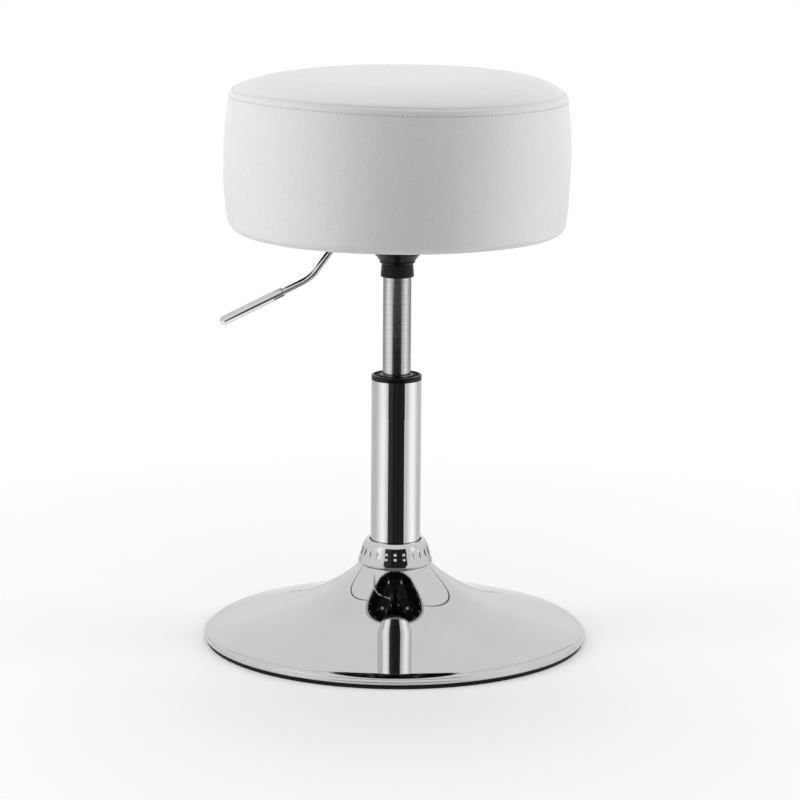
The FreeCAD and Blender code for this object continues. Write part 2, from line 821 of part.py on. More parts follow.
def valve_pieces():
    """Valve block at the top of the column, and the crowned pin that the lever presses."""
    pin = half("valve_pin_diameter")
    top = COLUMN_TOP - size("column_end_wall")
    pin_top = LEVER_Z - half("paddle_thickness") - SOFT - RUN * 2
    crown = size("valve_pin_crown")
    crown_radius = (pin * pin + crown * crown) / (crown * 2)
    return [
        turned("valve_block", block(pin + RUN, COLUMN_BORE - RUN, top - size("valve_height"), top)),
        turned("valve_pin", [
            (ZERO, pin_top - size("valve_pin_length")),
            (pin, pin_top - size("valve_pin_length")),
            (pin, pin_top - crown),
            (ZERO, pin_top, crown_radius, LEFT),
        ]),
    ]


def collar_ring():
    bottom = COLUMN_R + size("collar_wall")
    top = bottom - size("collar_draw_in")
    edge, top_z = size("collar_edge"), COLLAR_BOTTOM + size("collar_height")
    bore = COLUMN_R + RUN
    return turned("collar_ring", [
        (bore, COLLAR_BOTTOM),
        (bottom - edge, COLLAR_BOTTOM),
        (bottom, COLLAR_BOTTOM + edge, edge, LEFT),
        (top, top_z),
        (bore, top_z),
    ])


def taper_hub():
    """Steel socket that wedges on the column's taper, with the lip that shows above the collar."""
    slope = size("column_taper_drop") / size("column_taper_length")
    lip, outer = HUB_R + size("hub_lip_width"), HUB_R
    edge, hub_top = size("collar_edge"), HUB_BOTTOM + size("hub_height")
    taper_start = COLUMN_TOP - size("column_taper_length")
    bore_bottom = COLUMN_R + RUN - slope * (HUB_BOTTOM - taper_start)
    return turned("taper_hub", [
        (bore_bottom, HUB_BOTTOM),
        (outer - edge, HUB_BOTTOM),
        (lip, HUB_BOTTOM + edge * 2),
        (lip, HUB_LIP_TOP - edge / 2),
        (lip - edge / 2, HUB_LIP_TOP),
        (outer, HUB_LIP_TOP),
        (outer, hub_top),
        (COLUMN_TOP_R + RUN, hub_top),
        (COLUMN_TOP_R + RUN, COLUMN_TOP),
    ])


def bell_housing():
    """Pressed funnel between hub and plate, with a window for the lever."""
    inner, neck = HUB_R + RUN, HUB_R + size("bell_neck_wall")
    bend = neck + size("bell_bend_width")
    wide = bend + size("bell_cone_width")
    flange = wide + size("bell_flange_width")
    wall, neck_z = size("bell_wall"), HUB_LIP_TOP + RUN
    bend_z = neck_z + size("bell_bend_height")
    flange_z = PLATE_BOTTOM - size("bell_flange_thickness")
    body = turned("bell_housing", [
        (inner, neck_z),
        (neck, neck_z),
        (bend, bend_z, size("bell_bend_radius"), RIGHT),
        (wide, flange_z),
        (flange, flange_z),
        (flange, PLATE_BOTTOM),
        (wide - wall, PLATE_BOTTOM),
        (bend - wall, bend_z + wall),
        (inner, neck_z + wall),
    ])
    sill = neck_z + size("bell_window_sill")
    side = half("bell_window_width")
    window = sketch_on(body, "YZ_Plane", -inner)
    draw_outline(window, [(-side, sill), (side, sill), (side, flange_z), (-side, flange_z)])
    extrude(body, window, wide, "Pocket")
    return body


def seat_plate():
    """Square steel plate with rounded corners, bolted under the seat board."""
    body = make_body("seat_plate")
    edge, corner = half("seat_plate_side"), size("seat_plate_corner")
    sketch = sketch_on(body, "XY_Plane", PLATE_BOTTOM)
    flat = edge - corner
    draw_outline(sketch, [
        (-flat, -edge, corner, LEFT),
        (flat, -edge),
        (edge, -flat, corner, LEFT),
        (edge, flat),
        (flat, edge, corner, LEFT),
        (-flat, edge),
        (-edge, flat, corner, LEFT),
        (-edge, -flat),
    ])
    extrude(body, sketch, size("seat_plate_thickness"))
    centre = sketch_on(body, "XY_Plane", PLATE_BOTTOM)
    draw_circle(centre, ZERO, ZERO, half("seat_plate_hole"))
    extrude(body, centre, size("seat_plate_thickness"), "Pocket", reverse=True)
    cut_bolt_holes(body, size("bolt_hole"), PLATE_BOTTOM, size("seat_plate_thickness"))
    return body


def seat_bolts():
    """Four hexagon bolts, each a solid of its own."""
    body = make_body("seat_bolts")
    body.AllowCompound = True
    head_top = PLATE_BOTTOM - size("bolt_washer_thickness")
    head = sketch_on(body, "XY_Plane", head_top - size("bolt_head_height"))
    flat = half("bolt_head_flats")
    corner = flat / cosine(HEX_HALF_ANGLE)
    draw_outline(head, [
        (BOLT_X + corner, BOLT_X),
        (BOLT_X + corner / 2, BOLT_X + flat),
        (BOLT_X - corner / 2, BOLT_X + flat),
        (BOLT_X - corner, BOLT_X),
        (BOLT_X - corner / 2, BOLT_X - flat),
        (BOLT_X + corner / 2, BOLT_X - flat),
    ])
    extrude(body, head, size("bolt_head_height"))
    shank = sketch_on(body, "XY_Plane", head_top)
    draw_circle(shank, BOLT_X, BOLT_X, half("bolt_diameter"))
    pad = extrude(body, shank, BOARD_TOP - size("tnut_flange_thickness") - head_top)
    ring_pattern(body, pad, BOLT_COUNT)
    body.Tip.Originals = [body.Group[1], pad]
    doc.recompute()
    return body


def ring_of_four(label, levels, inner, outer):
    """Four rings on the bolts' square, as one group: levels are the bottom and top of each step."""
    body = make_body(label)
    body.AllowCompound = True
    steps = []
    for (bottom, top), rim in zip(levels, outer):
        sketch = sketch_on(body, "XY_Plane", bottom)
        draw_circle(sketch, BOLT_X, BOLT_X, rim)
        draw_circle(sketch, BOLT_X, BOLT_X, inner)
        steps.append(extrude(body, sketch, top - bottom))
    ring_pattern(body, steps[0], BOLT_COUNT).Originals = steps
    doc.recompute()
    return body


def bolt_washers():
    bottom = PLATE_BOTTOM - size("bolt_washer_thickness")
    return ring_of_four(
        "bolt_washers", [(bottom, PLATE_BOTTOM)], half("bolt_diameter") + RUN, [half("bolt_washer_diameter")])


def tee_nuts():
    flange_bottom = BOARD_TOP - size("tnut_flange_thickness")
    barrel_bottom = flange_bottom - size("tnut_barrel_length")
    return ring_of_four(
        "tee_nuts", [(barrel_bottom, flange_bottom), (flange_bottom, BOARD_TOP)],
        half("bolt_diameter") + RUN, [half("tnut_barrel_diameter"), half("tnut_flange_diameter")])


def lever_route():
    """The rod's bends: directions, corners and tangent lengths, in the plane of X and Z."""
    drop, lie = size("lever_drop_angle"), size("lever_grip_angle")
    down = (-cosine(drop), -sine(drop))
    out = (-cosine(lie), -sine(lie))
    elbow = (PIVOT_X - size("lever_elbow_clear"), LEVER_Z)
    length = size("lever_drop_length")
    knee = (elbow[0] + down[0] * length, elbow[1] + down[1] * length)
    return down, out, elbow, knee


def along(point, direction, distance):
    return (point[0] + direction[0] * distance, point[1] + direction[1] * distance)


def lever_rod():
    """Bent rod with a flat paddle over the valve pin and a boss on the pivot."""
    body = make_body("lever_rod")
    down, out, elbow, knee = lever_route()
    drop, lie = size("lever_drop_angle"), size("lever_grip_angle")
    inner, outer = size("lever_bend_inner"), size("lever_bend_outer")
    run_in, run_out = inner * half_tangent(drop), outer * half_tangent(drop - lie)
    start_x = -size("paddle_length") / 2
    route = sketch_on(body, "XZ_Plane")
    draw_outline(route, [
        (start_x, LEVER_Z),
        (elbow[0] + run_in, LEVER_Z),
        (*along(elbow, down, run_in), inner, LEFT),
        along(knee, down, -run_out),
        (*along(knee, out, run_out), outer, RIGHT),
        along(knee, out, size("grip_start") + size("grip_length") - size("grip_wall_end")),
    ], closed=False)
    section = sketch_on(body, "YZ_Plane", start_x)
    draw_circle(section, ZERO, LEVER_Z, half("lever_diameter"))
    pipe = body.newObject("PartDesign::AdditivePipe", "lever_pipe")
    pipe.Profile = section
    pipe.Spine = (route, [f"Edge{i + 1}" for i in range(route.GeometryCount)])
    doc.recompute()
    paddle = sketch_on(body, "XY_Plane", LEVER_Z - half("paddle_thickness"))
    tip, side = size("lever_tip_reach"), half("paddle_width")
    draw_outline(paddle, [
        (tip - size("paddle_length"), -side),
        (tip - side, -side),
        (tip, ZERO, side, LEFT),
        (tip - side, side, side, LEFT),
        (tip - size("paddle_length"), side),
    ])
    extrude(body, paddle, size("paddle_thickness"))
    boss = sketch_on(body, "XZ_Plane")
    draw_circle(boss, PIVOT_X, LEVER_Z, half("boss_diameter"))
    extrude(body, boss, size("boss_length"), both_ways=True)
    bore = sketch_on(body, "XZ_Plane")
    draw_circle(bore, PIVOT_X, LEVER_Z, half("pivot_pin_diameter") + RUN)
    extrude(body, bore, size("boss_length") * 2, "Pocket", both_ways=True)
    return body


def lever_grip():
    """Chromed sleeve with a domed end, pushed over the rod's last stretch."""
    outer, edge = half("grip_diameter"), size("grip_edge")
    bore, length = half("lever_diameter") + RUN, size("grip_length")
    body = turned("lever_grip", [
        (bore, ZERO),
        (outer - edge, ZERO),
        (outer, edge, edge, LEFT),
        (outer, length - outer),
        (ZERO, length, outer, LEFT),
        (ZERO, length - size("grip_wall_end") + RUN),
        (bore, length - size("grip_wall_end") + RUN),
    ])
    knee, out = lever_route()[3], lever_route()[1]
    start = along(knee, out, size("grip_start"))
    turn = -(size("lever_grip_angle") + 90)
    body.Placement = FreeCAD.Placement(
        vector(start[0], 0, start[1]), FreeCAD.Rotation(vector(0, 1, 0), float(turn)))
    body.setExpression("Placement.Base.x", start[0].text)
    body.setExpression("Placement.Base.z", start[1].text)
    body.setExpression("Placement.Rotation.Angle", turn.text)
    return body


def lever_bracket():
    """Folded sheet with two ears, welded under the plate, that holds the lever's pivot."""
    body = make_body("lever_bracket")
    sheet_wall, ear = size("bracket_sheet"), half("boss_length") + SOFT
    ear_bottom = LEVER_Z - size("bracket_ear_drop")
    outside = ear + sheet_wall
    length = size("bracket_length")
    section = sketch_on(body, "YZ_Plane", PIVOT_X)
    draw_outline(section, [
        (-outside, ear_bottom),
        (-ear, ear_bottom),
        (-ear, PLATE_BOTTOM - sheet_wall),
        (ear, PLATE_BOTTOM - sheet_wall),
        (ear, ear_bottom),
        (outside, ear_bottom),
        (outside, PLATE_BOTTOM),
        (-outside, PLATE_BOTTOM),
    ])
    extrude(body, section, length, both_ways=True)
    hole = sketch_on(body, "XZ_Plane")
    draw_circle(hole, PIVOT_X, LEVER_Z, half("pivot_pin_diameter") + RUN)
    extrude(body, hole, outside * 4, "Pocket", both_ways=True)
    return body


def lever_pin():
    """Headed pin through both ears of the bracket, along Y."""
    pin, head = half("pivot_pin_diameter"), half("pivot_pin_head")
    reach = half("boss_length") + SOFT + size("bracket_sheet") + RUN
    end = reach + size("pivot_pin_head_thickness")
    body = turned("lever_pin", [
        (ZERO, -end), (head, -end), (head, -reach), (pin, -reach),
        (pin, reach), (head, reach), (head, end), (ZERO, end),
    ])
    body.Placement = FreeCAD.Placement(
        vector(PIVOT_X, 0, LEVER_Z), FreeCAD.Rotation(vector(1, 0, 0), 90))
    body.setExpression("Placement.Base.x", PIVOT_X.text)
    body.setExpression("Placement.Base.z", LEVER_Z.text)
    return body


def seat_board():
    """Plywood disc under the foam, counterbored on top for the tee nuts."""
    edge = size("board_edge")
    body = turned("seat_board", [
        (ZERO, BOARD_BOTTOM),
        (BOARD_R - edge, BOARD_BOTTOM),
        (BOARD_R, BOARD_BOTTOM + edge, edge, LEFT),
        (BOARD_R, BOARD_TOP),
        (ZERO, BOARD_TOP),
    ])
    cut_bolt_holes(body, size("tnut_barrel_diameter") + RUN * 2, BOARD_BOTTOM, size("board_thickness"))
    flange = size("tnut_flange_thickness") + RUN
    cut_bolt_holes(body, size("tnut_flange_diameter") + RUN * 2, BOARD_TOP - flange, flange)
    return body


def seat_foam():
    """Foam block with a crowned top and a skirt that wraps the board's edge."""
    skin = size("cover_thickness") + SOFT
    allowance = SEAM_Z - size("seam_allowance") - SOFT
    return turned("seat_foam", [
        (ZERO, BOARD_TOP),
        (BOARD_R + SOFT, BOARD_TOP),
        (BOARD_R + SOFT, BOARD_BOTTOM + size("board_edge")),
        (FOOT_R - skin - SOFT, FOOT_Z, size("foot_corner_radius"), LEFT),
        (SEAM_R - skin * 2, allowance, BARREL_ARC, LEFT),
        (SEAM_R - skin * 2, SEAM_Z),
        (SHOULDER_R, SHOULDER_Z - skin, size("crown_shoulder_radius"), LEFT),
        (ZERO, CROWN_TOP - skin, CROWN_ARC, LEFT),
    ])


def cover_top():
    """Crowned top panel, with its edge turned down inside the side band."""
    skin, barrel = size("cover_thickness"), SEAM_R - size("cover_thickness")
    tuck, shoulder = SEAM_Z - size("seam_allowance"), size("crown_shoulder_radius")
    outer, inner = barrel - RUN, barrel - RUN - skin
    return turned("cover_top", [
        (ZERO, CROWN_TOP - skin),
        (SHOULDER_R, SHOULDER_Z - skin, CROWN_ARC, RIGHT),
        (inner, SEAM_Z, shoulder, RIGHT),
        (inner, tuck),
        (outer, tuck),
        (outer, SEAM_Z),
        (SHOULDER_R, SHOULDER_Z, shoulder + skin, LEFT),
        (ZERO, CROWN_TOP, CROWN_ARC, LEFT),
    ])


def cover_band():
    """Barrel-shaped side band, drawn in at the foot and turned under the board."""
    skin, corner = size("cover_thickness"), size("foot_corner_radius")
    turn = FOOT_R - corner
    hem = turn - size("foot_turn_under")
    return turned("cover_band", [
        (hem, TURN_UNDER_BOTTOM),
        (turn, TURN_UNDER_BOTTOM),
        (FOOT_R, FOOT_Z, corner, LEFT),
        (SEAM_R, SEAM_Z, BARREL_ARC, LEFT),
        (SEAM_R - skin, SEAM_Z),
        (FOOT_R - skin, FOOT_Z, BARREL_ARC, RIGHT),
        (turn, BOARD_BOTTOM, corner, RIGHT),
        (hem, BOARD_BOTTOM),
    ])


def dust_cover():
    """Black cloth disc under the board: flat at the middle, and stepped over the turned-under hem."""
    thick, outer = size("dust_cover_thickness"), FOOT_R - size("dust_cover_inset")
    hem = FOOT_R - size("foot_corner_radius") - size("foot_turn_under")
    low = TURN_UNDER_BOTTOM - thick
    slope = size("cover_thickness") * 2
    body = turned("dust_cover", [
        (ZERO, PLATE_TOP),
        (hem - SOFT - slope, PLATE_TOP),
        (hem - SOFT, low),
        (outer, low),
        (outer, TURN_UNDER_BOTTOM),
        (hem - SOFT + thick / 4, TURN_UNDER_BOTTOM),
        (hem - SOFT + thick / 4 - slope, BOARD_BOTTOM),
        (ZERO, BOARD_BOTTOM),
    ])
    cut_bolt_holes(body, size("bolt_hole"), PLATE_TOP, thick)
    return body


def build():
    """Every sub-part of the stool, from the floor up."""
    made = [
        base_shell(), floor_ring(), ballast_plate(), tube_socket(), trim_ring(),
        outer_tube(), tube_cap(), guide_sleeve(),
        *bearing_races(), bearing_balls(), bearing_cage(),
        piston_rod(), *rod_fittings(), rod_clip(), piston(), *seals(),
        gas_cylinder(), rod_gland(), *valve_pieces(),
        collar_ring(), taper_hub(), bell_housing(), seat_plate(),
        seat_bolts(), bolt_washers(), tee_nuts(),
        lever_rod(), lever_grip(), lever_bracket(), lever_pin(),
        seat_board(), seat_foam(), cover_top(), cover_band(), dust_cover(),
    ]
    doc.recompute()
    return made


def check(sub_parts):
    """Stops if any object failed to recompute or any sub-part has no valid solid."""
    for thing in doc.Objects:
        if {"Invalid", "Error"} & set(thing.State):
            raise RuntimeError(f"{thing.Label} did not recompute: {thing.State}")
    for part in sub_parts:
        if part.Shape.isNull() or not part.Shape.isValid() or not part.Shape.Solids:
            raise RuntimeError(f"{part.Label} has no valid solid")


def write(sub_parts):
    os.makedirs("parts", exist_ok=True)
    for part in sub_parts:
        part.Shape.exportStep(os.path.join("parts", part.Label + ".step"))
        box = part.Shape.BoundBox
        print(f"{part.Label}: {len(part.Shape.Solids)} solid(s), {part.Shape.Volume:.0f} mm3, "
              f"z {box.ZMin:.2f} to {box.ZMax:.2f}, x {box.XMin:.2f} to {box.XMax:.2f}")


pieces = build()
check(pieces)
write(pieces)
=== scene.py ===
# %% [markdown]
# # A vanity stool on a gas lift
# The stool has a round padded seat in white coated leather, a two-stage lift, a bent release lever and a
# chromed trumpet base. The metal and plastic parts are exact solids already, so they come in from the
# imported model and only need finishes. The upholstery is soft, so it is made here as leather, foam, cloth
# and thread around the same frame. All lengths are in metres.

# %% Load the frame
import json
import math

import bpy
import numpy as np
from mathutils import Matrix, Vector, noise


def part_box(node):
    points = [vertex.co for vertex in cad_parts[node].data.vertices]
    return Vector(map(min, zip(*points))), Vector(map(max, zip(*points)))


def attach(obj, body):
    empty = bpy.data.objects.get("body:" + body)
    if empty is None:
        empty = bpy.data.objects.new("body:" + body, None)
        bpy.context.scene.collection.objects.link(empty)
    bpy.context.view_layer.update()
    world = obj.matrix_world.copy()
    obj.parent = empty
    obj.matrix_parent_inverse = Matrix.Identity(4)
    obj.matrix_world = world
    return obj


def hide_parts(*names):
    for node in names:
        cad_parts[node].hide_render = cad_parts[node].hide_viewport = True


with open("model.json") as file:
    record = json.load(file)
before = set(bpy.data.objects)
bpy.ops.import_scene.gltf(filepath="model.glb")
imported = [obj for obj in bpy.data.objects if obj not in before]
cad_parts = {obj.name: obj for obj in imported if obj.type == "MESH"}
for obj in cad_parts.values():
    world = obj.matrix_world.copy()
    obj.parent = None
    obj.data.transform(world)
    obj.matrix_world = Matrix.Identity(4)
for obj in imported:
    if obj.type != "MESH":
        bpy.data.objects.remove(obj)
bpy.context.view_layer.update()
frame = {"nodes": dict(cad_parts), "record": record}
MM = 0.001

# %% [markdown]
# ## Camera
# A product photo of a stool is taken from a few metres away with a long lens, so that the ellipses of seat
# and base keep nearly the same shape. The lens, the pitch and the slight roll were fitted to the ellipses
# of the base, the tube and the seat.

# %% Camera
FRAME_SIDE = 800
FOCAL_PIXELS = 3312
CAMERA_PLACE = (0.0036, -3.233, 0.905)
CAMERA_PITCH = math.radians(11.57)
CAMERA_ROLL = math.radians(0.44)

camera_data = bpy.data.cameras.new("camera")
camera_data.lens = camera_data.sensor_width * FOCAL_PIXELS / FRAME_SIDE
camera = bpy.data.objects.new("camera", camera_data)
camera.matrix_world = (
    Matrix.Translation(CAMERA_PLACE)
    @ Matrix.Rotation(math.pi / 2 - CAMERA_PITCH, 4, "X")
    @ Matrix.Rotation(CAMERA_ROLL, 4, "Z")
)
bpy.context.scene.collection.objects.link(camera)
bpy.context.scene.camera = camera
bpy.context.scene.view_settings.view_transform = "Standard"
print("lens", round(camera_data.lens, 2), "mm")

# %% [markdown]
# ## Small helpers
# Most pieces here are rings of points joined into faces, so one helper turns points and faces into a mesh,
# and two more join the rings. Another one places a shader node, sets its inputs and joins it to others.

# %% Helpers for meshes and nodes
def add_piece(name, points, faces, corners_uv=None):
    """A smooth mesh object from points and faces; corners_uv gives one (u, v) for each face corner."""
    mesh = bpy.data.meshes.new(name)
    mesh.from_pydata([tuple(p) for p in points], [], [tuple(f) for f in faces])
    mesh.polygons.foreach_set("use_smooth", [True] * len(mesh.polygons))
    if corners_uv is not None:
        layer = mesh.uv_layers.new(name="seam")
        layer.data.foreach_set("uv", np.asarray(corners_uv, np.float32).ravel())
    piece = bpy.data.objects.new(name, mesh)
    bpy.context.scene.collection.objects.link(piece)
    return piece


def ring_faces(rows, columns, first=0):
    """Quads between rings of points that lie row after row, closed round the axis."""
    faces = []
    for row in range(rows - 1):
        for column in range(columns):
            beside = (column + 1) % columns
            low, high = first + row * columns, first + (row + 1) * columns
            faces.append((low + column, high + column, high + beside, low + beside))
    return faces


def closed_faces(rows, columns, first=0):
    """The same, with a face over the first ring and one over the last."""
    last = first + (rows - 1) * columns
    caps = [tuple(range(first, first + columns)), tuple(range(last, last + columns))[::-1]]
    return ring_faces(rows, columns, first) + caps


def place(tree, kind, inputs=None, **settings):
    """Adds a node; an input is either a number or colour, or the socket of another node."""
    node = tree.nodes.new(kind)
    for key, value in settings.items():
        setattr(node, key, value)
    for key, value in (inputs or {}).items():
        if isinstance(value, bpy.types.NodeSocket):
            tree.links.new(value, node.inputs[key])
        else:
            node.inputs[key].default_value = value
    return node


def mix_colours(tree, share, first, second):
    node = place(tree, "ShaderNodeMix", {0: share, 6: first, 7: second}, data_type="RGBA")
    return node.outputs[2]


def remap(tree, value, low, high, from_low=0.0, from_high=1.0):
    ranges = {"Value": value, "From Min": from_low, "From Max": from_high, "To Min": low, "To Max": high}
    return place(tree, "ShaderNodeMapRange", ranges).outputs[0]


def combine(tree, operation, first, second=0.0):
    return place(tree, "ShaderNodeMath", {0: first, 1: second}, operation=operation).outputs[0]


print("helpers ready")

# %% [markdown]
# ## Studio
# The real stool stood in a white studio. The floor and the world are white to the camera and to
# reflections, and give plain light to everything else. From below, the floor is clear, so that the
# underside can be looked at. Three soft boxes light the leather.

# %% World
AMBIENT = 0.34
WHITE = (1.0, 1.0, 1.0, 1.0)


def seen_directly(tree):
    """1 for camera, glossy and transmission rays, 0 for the light that falls on things."""
    path = place(tree, "ShaderNodeLightPath")
    mirrored = combine(tree, "MAXIMUM", path.outputs["Is Camera Ray"], path.outputs["Is Glossy Ray"])
    return combine(tree, "MAXIMUM", mirrored, path.outputs["Is Transmission Ray"])


world = bpy.data.worlds.new("studio")
bpy.context.scene.world = world
world.use_nodes = True
world.node_tree.nodes.clear()
strength = remap(world.node_tree, seen_directly(world.node_tree), AMBIENT, 1.0)
sky = place(world.node_tree, "ShaderNodeBackground", {"Color": WHITE, "Strength": strength})
place(world.node_tree, "ShaderNodeOutputWorld", {"Surface": sky.outputs[0]})
print("world: ambient", AMBIENT)

# %% Floor
FLOOR_HALF = 6.0
FLOOR_COLOUR = (0.8, 0.8, 0.8, 1.0)
FLOOR_LIFT = 0.25
SHADE_NEAR, SHADE_FAR = 0.25, 0.85


def new_material(name):
    material = bpy.data.materials.new(name)
    material.use_nodes = True
    material.node_tree.nodes.clear()
    return material, material.node_tree


def object_place(tree):
    return place(tree, "ShaderNodeTexCoord").outputs["Object"]


def put_shader(tree, shader):
    place(tree, "ShaderNodeOutputMaterial", {"Surface": shader.outputs[0]})


floor_material, tree = new_material("pale_floor")
paint = place(tree, "ShaderNodeBsdfDiffuse", {"Color": FLOOR_COLOUR})
direct = seen_directly(tree)
lift = place(tree, "ShaderNodeEmission", {"Strength": remap(tree, direct, 0.0, FLOOR_LIFT)})
shaded = place(tree, "ShaderNodeAddShader", {0: paint.outputs[0], 1: lift.outputs[0]})
away = place(tree, "ShaderNodeVectorMath", {0: object_place(tree)}, operation="LENGTH").outputs["Value"]
fade = combine(tree, "MULTIPLY", remap(tree, away, 0.0, 1.0, SHADE_NEAR, SHADE_FAR), direct)
paper = place(tree, "ShaderNodeEmission")
upper = place(tree, "ShaderNodeMixShader", {0: fade, 1: shaded.outputs[0], 2: paper.outputs[0]})
below = place(tree, "ShaderNodeNewGeometry").outputs["Backfacing"]
clear = place(tree, "ShaderNodeBsdfTransparent")
put_shader(tree, place(tree, "ShaderNodeMixShader", {0: below, 1: upper.outputs[0], 2: clear.outputs[0]}))
floor = add_piece(
    "floor",
    [(x * FLOOR_HALF, y * FLOOR_HALF, 0.0) for x, y in ((-1, -1), (1, -1), (1, 1), (-1, 1))],
    [(0, 1, 2, 3)],
)
floor.data.materials.append(floor_material)
print("floor", 2 * FLOOR_HALF, "m wide")

# %% Lamps
def add_lamp(name, place_at, aim, width, height, watts):
    """A soft box: lights the stool, and doesn't show in the chrome."""
    data = bpy.data.lights.new(name, "AREA")
    data.shape, data.size, data.size_y, data.energy = "RECTANGLE", width, height, watts
    lamp = bpy.data.objects.new(name, data)
    lamp.location = place_at
    lamp.rotation_euler = (Vector(aim) - Vector(place_at)).to_track_quat("-Z", "Y").to_euler()
    lamp.visible_glossy = False
    bpy.context.scene.collection.objects.link(lamp)


SEAT_MIDDLE = (0.0, 0.0, 0.48)
LAMPS = {
    "left_box": {"place_at": (-1.72, -0.43, 1.05), "width": 1.0, "height": 1.4, "watts": 17.6},
    "right_box": {"place_at": (1.77, -0.06, 1.05), "width": 1.0, "height": 1.4, "watts": 16.2},
    "top_box": {"place_at": (0.0, 1.0, 2.1), "width": 1.2, "height": 1.2, "watts": 11.5},
}
for name, lamp in LAMPS.items():
    add_lamp(name, aim=SEAT_MIDDLE, **lamp)
print("lamps", sorted(LAMPS))

# %% [markdown]
# ## Cards for the chrome
# Chrome shows nothing but its surroundings, so its look comes from what a photographer sets up round it:
# bright panels at both sides, a dark cloth and a dark wall on the camera's side. An image of a studio could
# do this, but cards can be placed where one reflection needs them. They are seen by reflections only, and
# from one side only. Some are for a single mirror: the lever's cards show in the lever, not in its image in
# the base, and the front wall shows only in the base's image of the tube and column.

# %% Cards that only reflections see
# Ray Depth is 1 in a mirror that the camera sees and 2 in a mirror's mirror.
BETWEEN_MIRRORS = 1.5


def hang_card(card, glow=None, hand=None):
    """Gives a card its light, the same all over or from its points, and hides it from all but mirrors. A
    first-hand card shows only in a mirror that the camera sees, a second-hand one in a mirror's mirror."""
    material, tree = new_material(card.name)
    if glow is None:
        glow = place(tree, "ShaderNodeAttribute", attribute_name="brightness").outputs["Fac"]
    light = place(tree, "ShaderNodeEmission", {"Strength": glow})
    hidden = place(tree, "ShaderNodeNewGeometry").outputs["Backfacing"]
    if hand:
        mirrors = place(tree, "ShaderNodeLightPath").outputs["Ray Depth"]
        missed = combine(tree, "LESS_THAN" if hand == "second" else "GREATER_THAN", mirrors, BETWEEN_MIRRORS)
        hidden = combine(tree, "MAXIMUM", hidden, missed)
    clear = place(tree, "ShaderNodeBsdfTransparent")
    card_face = place(tree, "ShaderNodeMixShader", {0: hidden, 1: light.outputs[0], 2: clear.outputs[0]})
    put_shader(tree, card_face)
    card.data.materials.append(material)
    card.visible_camera = card.visible_diffuse = card.visible_shadow = card.visible_transmission = False


def add_card(name, corners, brightness, hand=None):
    hang_card(add_piece(name, corners, [(0, 1, 2, 3)]), brightness, hand)


def on_floor(azimuth, distance, height=0.0):
    """A point seen from the stool: azimuth in degrees from the camera's side towards +X."""
    turn = math.radians(azimuth)
    return (math.sin(turn) * distance, -math.cos(turn) * distance, height)


print("card helpers ready")

# %% A card bent round the stool
FIRST_AZIMUTH, LAST_AZIMUTH, AZIMUTH_STEP = -180, 240, 4
ALL_ROUND, CLOTH_LEVEL = (-180.0, 180.0), 0.001


def add_surround(name, tones, edges, between=ALL_ROUND, shares=(1.0, 1.0), hand=None):
    """A card between two azimuths, with its two edges given as (distance, height). Tones gives its light
    at some azimuths, and shares how much of that each edge keeps."""
    marks = set(range(FIRST_AZIMUTH, LAST_AZIMUTH + 1, AZIMUTH_STEP)) | {azimuth for azimuth, _ in tones}
    azimuths = sorted(mark for mark in marks if between[0] <= mark <= between[1])
    count = len(azimuths)
    points = [on_floor(azimuth, *edge) for edge in edges for azimuth in azimuths]
    card = add_piece(name, points, [(count + i, count + i + 1, i + 1, i) for i in range(count - 1)])
    levels = np.outer(shares, np.interp(azimuths, *zip(*tones))).ravel()
    card.data.attributes.new("brightness", "FLOAT", "POINT").data.foreach_set("value", levels)
    hang_card(card, hand=hand)


def flat_card(near, far):
    return (near, CLOTH_LEVEL), (far, CLOTH_LEVEL)


def upright_card(away, low, high):
    return (away, low), (away, high)


print("bent card helpers ready")

# %% Floor cloths
STUDIO_TONES = (
    (-180.0, 0.85), (-130.0, 0.8), (-102.0, 0.83), (-90.0, 1.0), (-76.0, 1.36), (-64.0, 1.56),
    (-55.0, 1.51), (-45.0, 1.2), (-36.0, 0.85), (-34.5, 0.06), (-16.0, 0.043), (-9.0, 0.018),
    (-3.0, 0.017), (-1.0, 0.034), (2.0, 0.034), (5.0, 0.017), (20.0, 0.024), (37.5, 0.028),
    (39.0, 0.93), (50.0, 0.9), (60.0, 1.25), (71.0, 1.52), (82.0, 1.61), (90.0, 1.54),
    (102.0, 1.22), (110.0, 0.97), (118.0, 0.85), (180.0, 0.8),
)
FAR_TONES = (
    (-180.0, 0.5), (-140.0, 0.5), (-112.0, 0.62), (-92.0, 1.4), (-72.0, 1.75), (-56.0, 1.4),
    (-44.0, 0.8), (-30.0, 0.12), (-22.0, 0.06), (26.0, 0.05), (36.0, 0.3), (48.0, 0.7),
    (60.0, 1.1), (77.0, 1.7), (90.0, 1.45), (104.0, 0.95), (130.0, 0.45), (180.0, 0.5),
)
SIDE_NEAR, FRONT_NEAR, NEAR_END, FAR_END = 0.3, 0.42, 1.38, 5.5
FRONT_FROM, FRONT_TO = -80.0, 84.0
NEAR_CLOTHS = {
    "near_cloth_left": (SIDE_NEAR, (ALL_ROUND[0], FRONT_FROM)),
    "near_cloth_front": (FRONT_NEAR, (FRONT_FROM, FRONT_TO)),
    "near_cloth_right": (SIDE_NEAR, (FRONT_TO, ALL_ROUND[1])),
}
for name, (near_edge, between) in NEAR_CLOTHS.items():
    add_surround(name, STUDIO_TONES, flat_card(near_edge, NEAR_END), between)
add_surround("far_cloth", FAR_TONES, flat_card(NEAR_END, FAR_END))
print("floor cloths out to", FAR_END, "m")

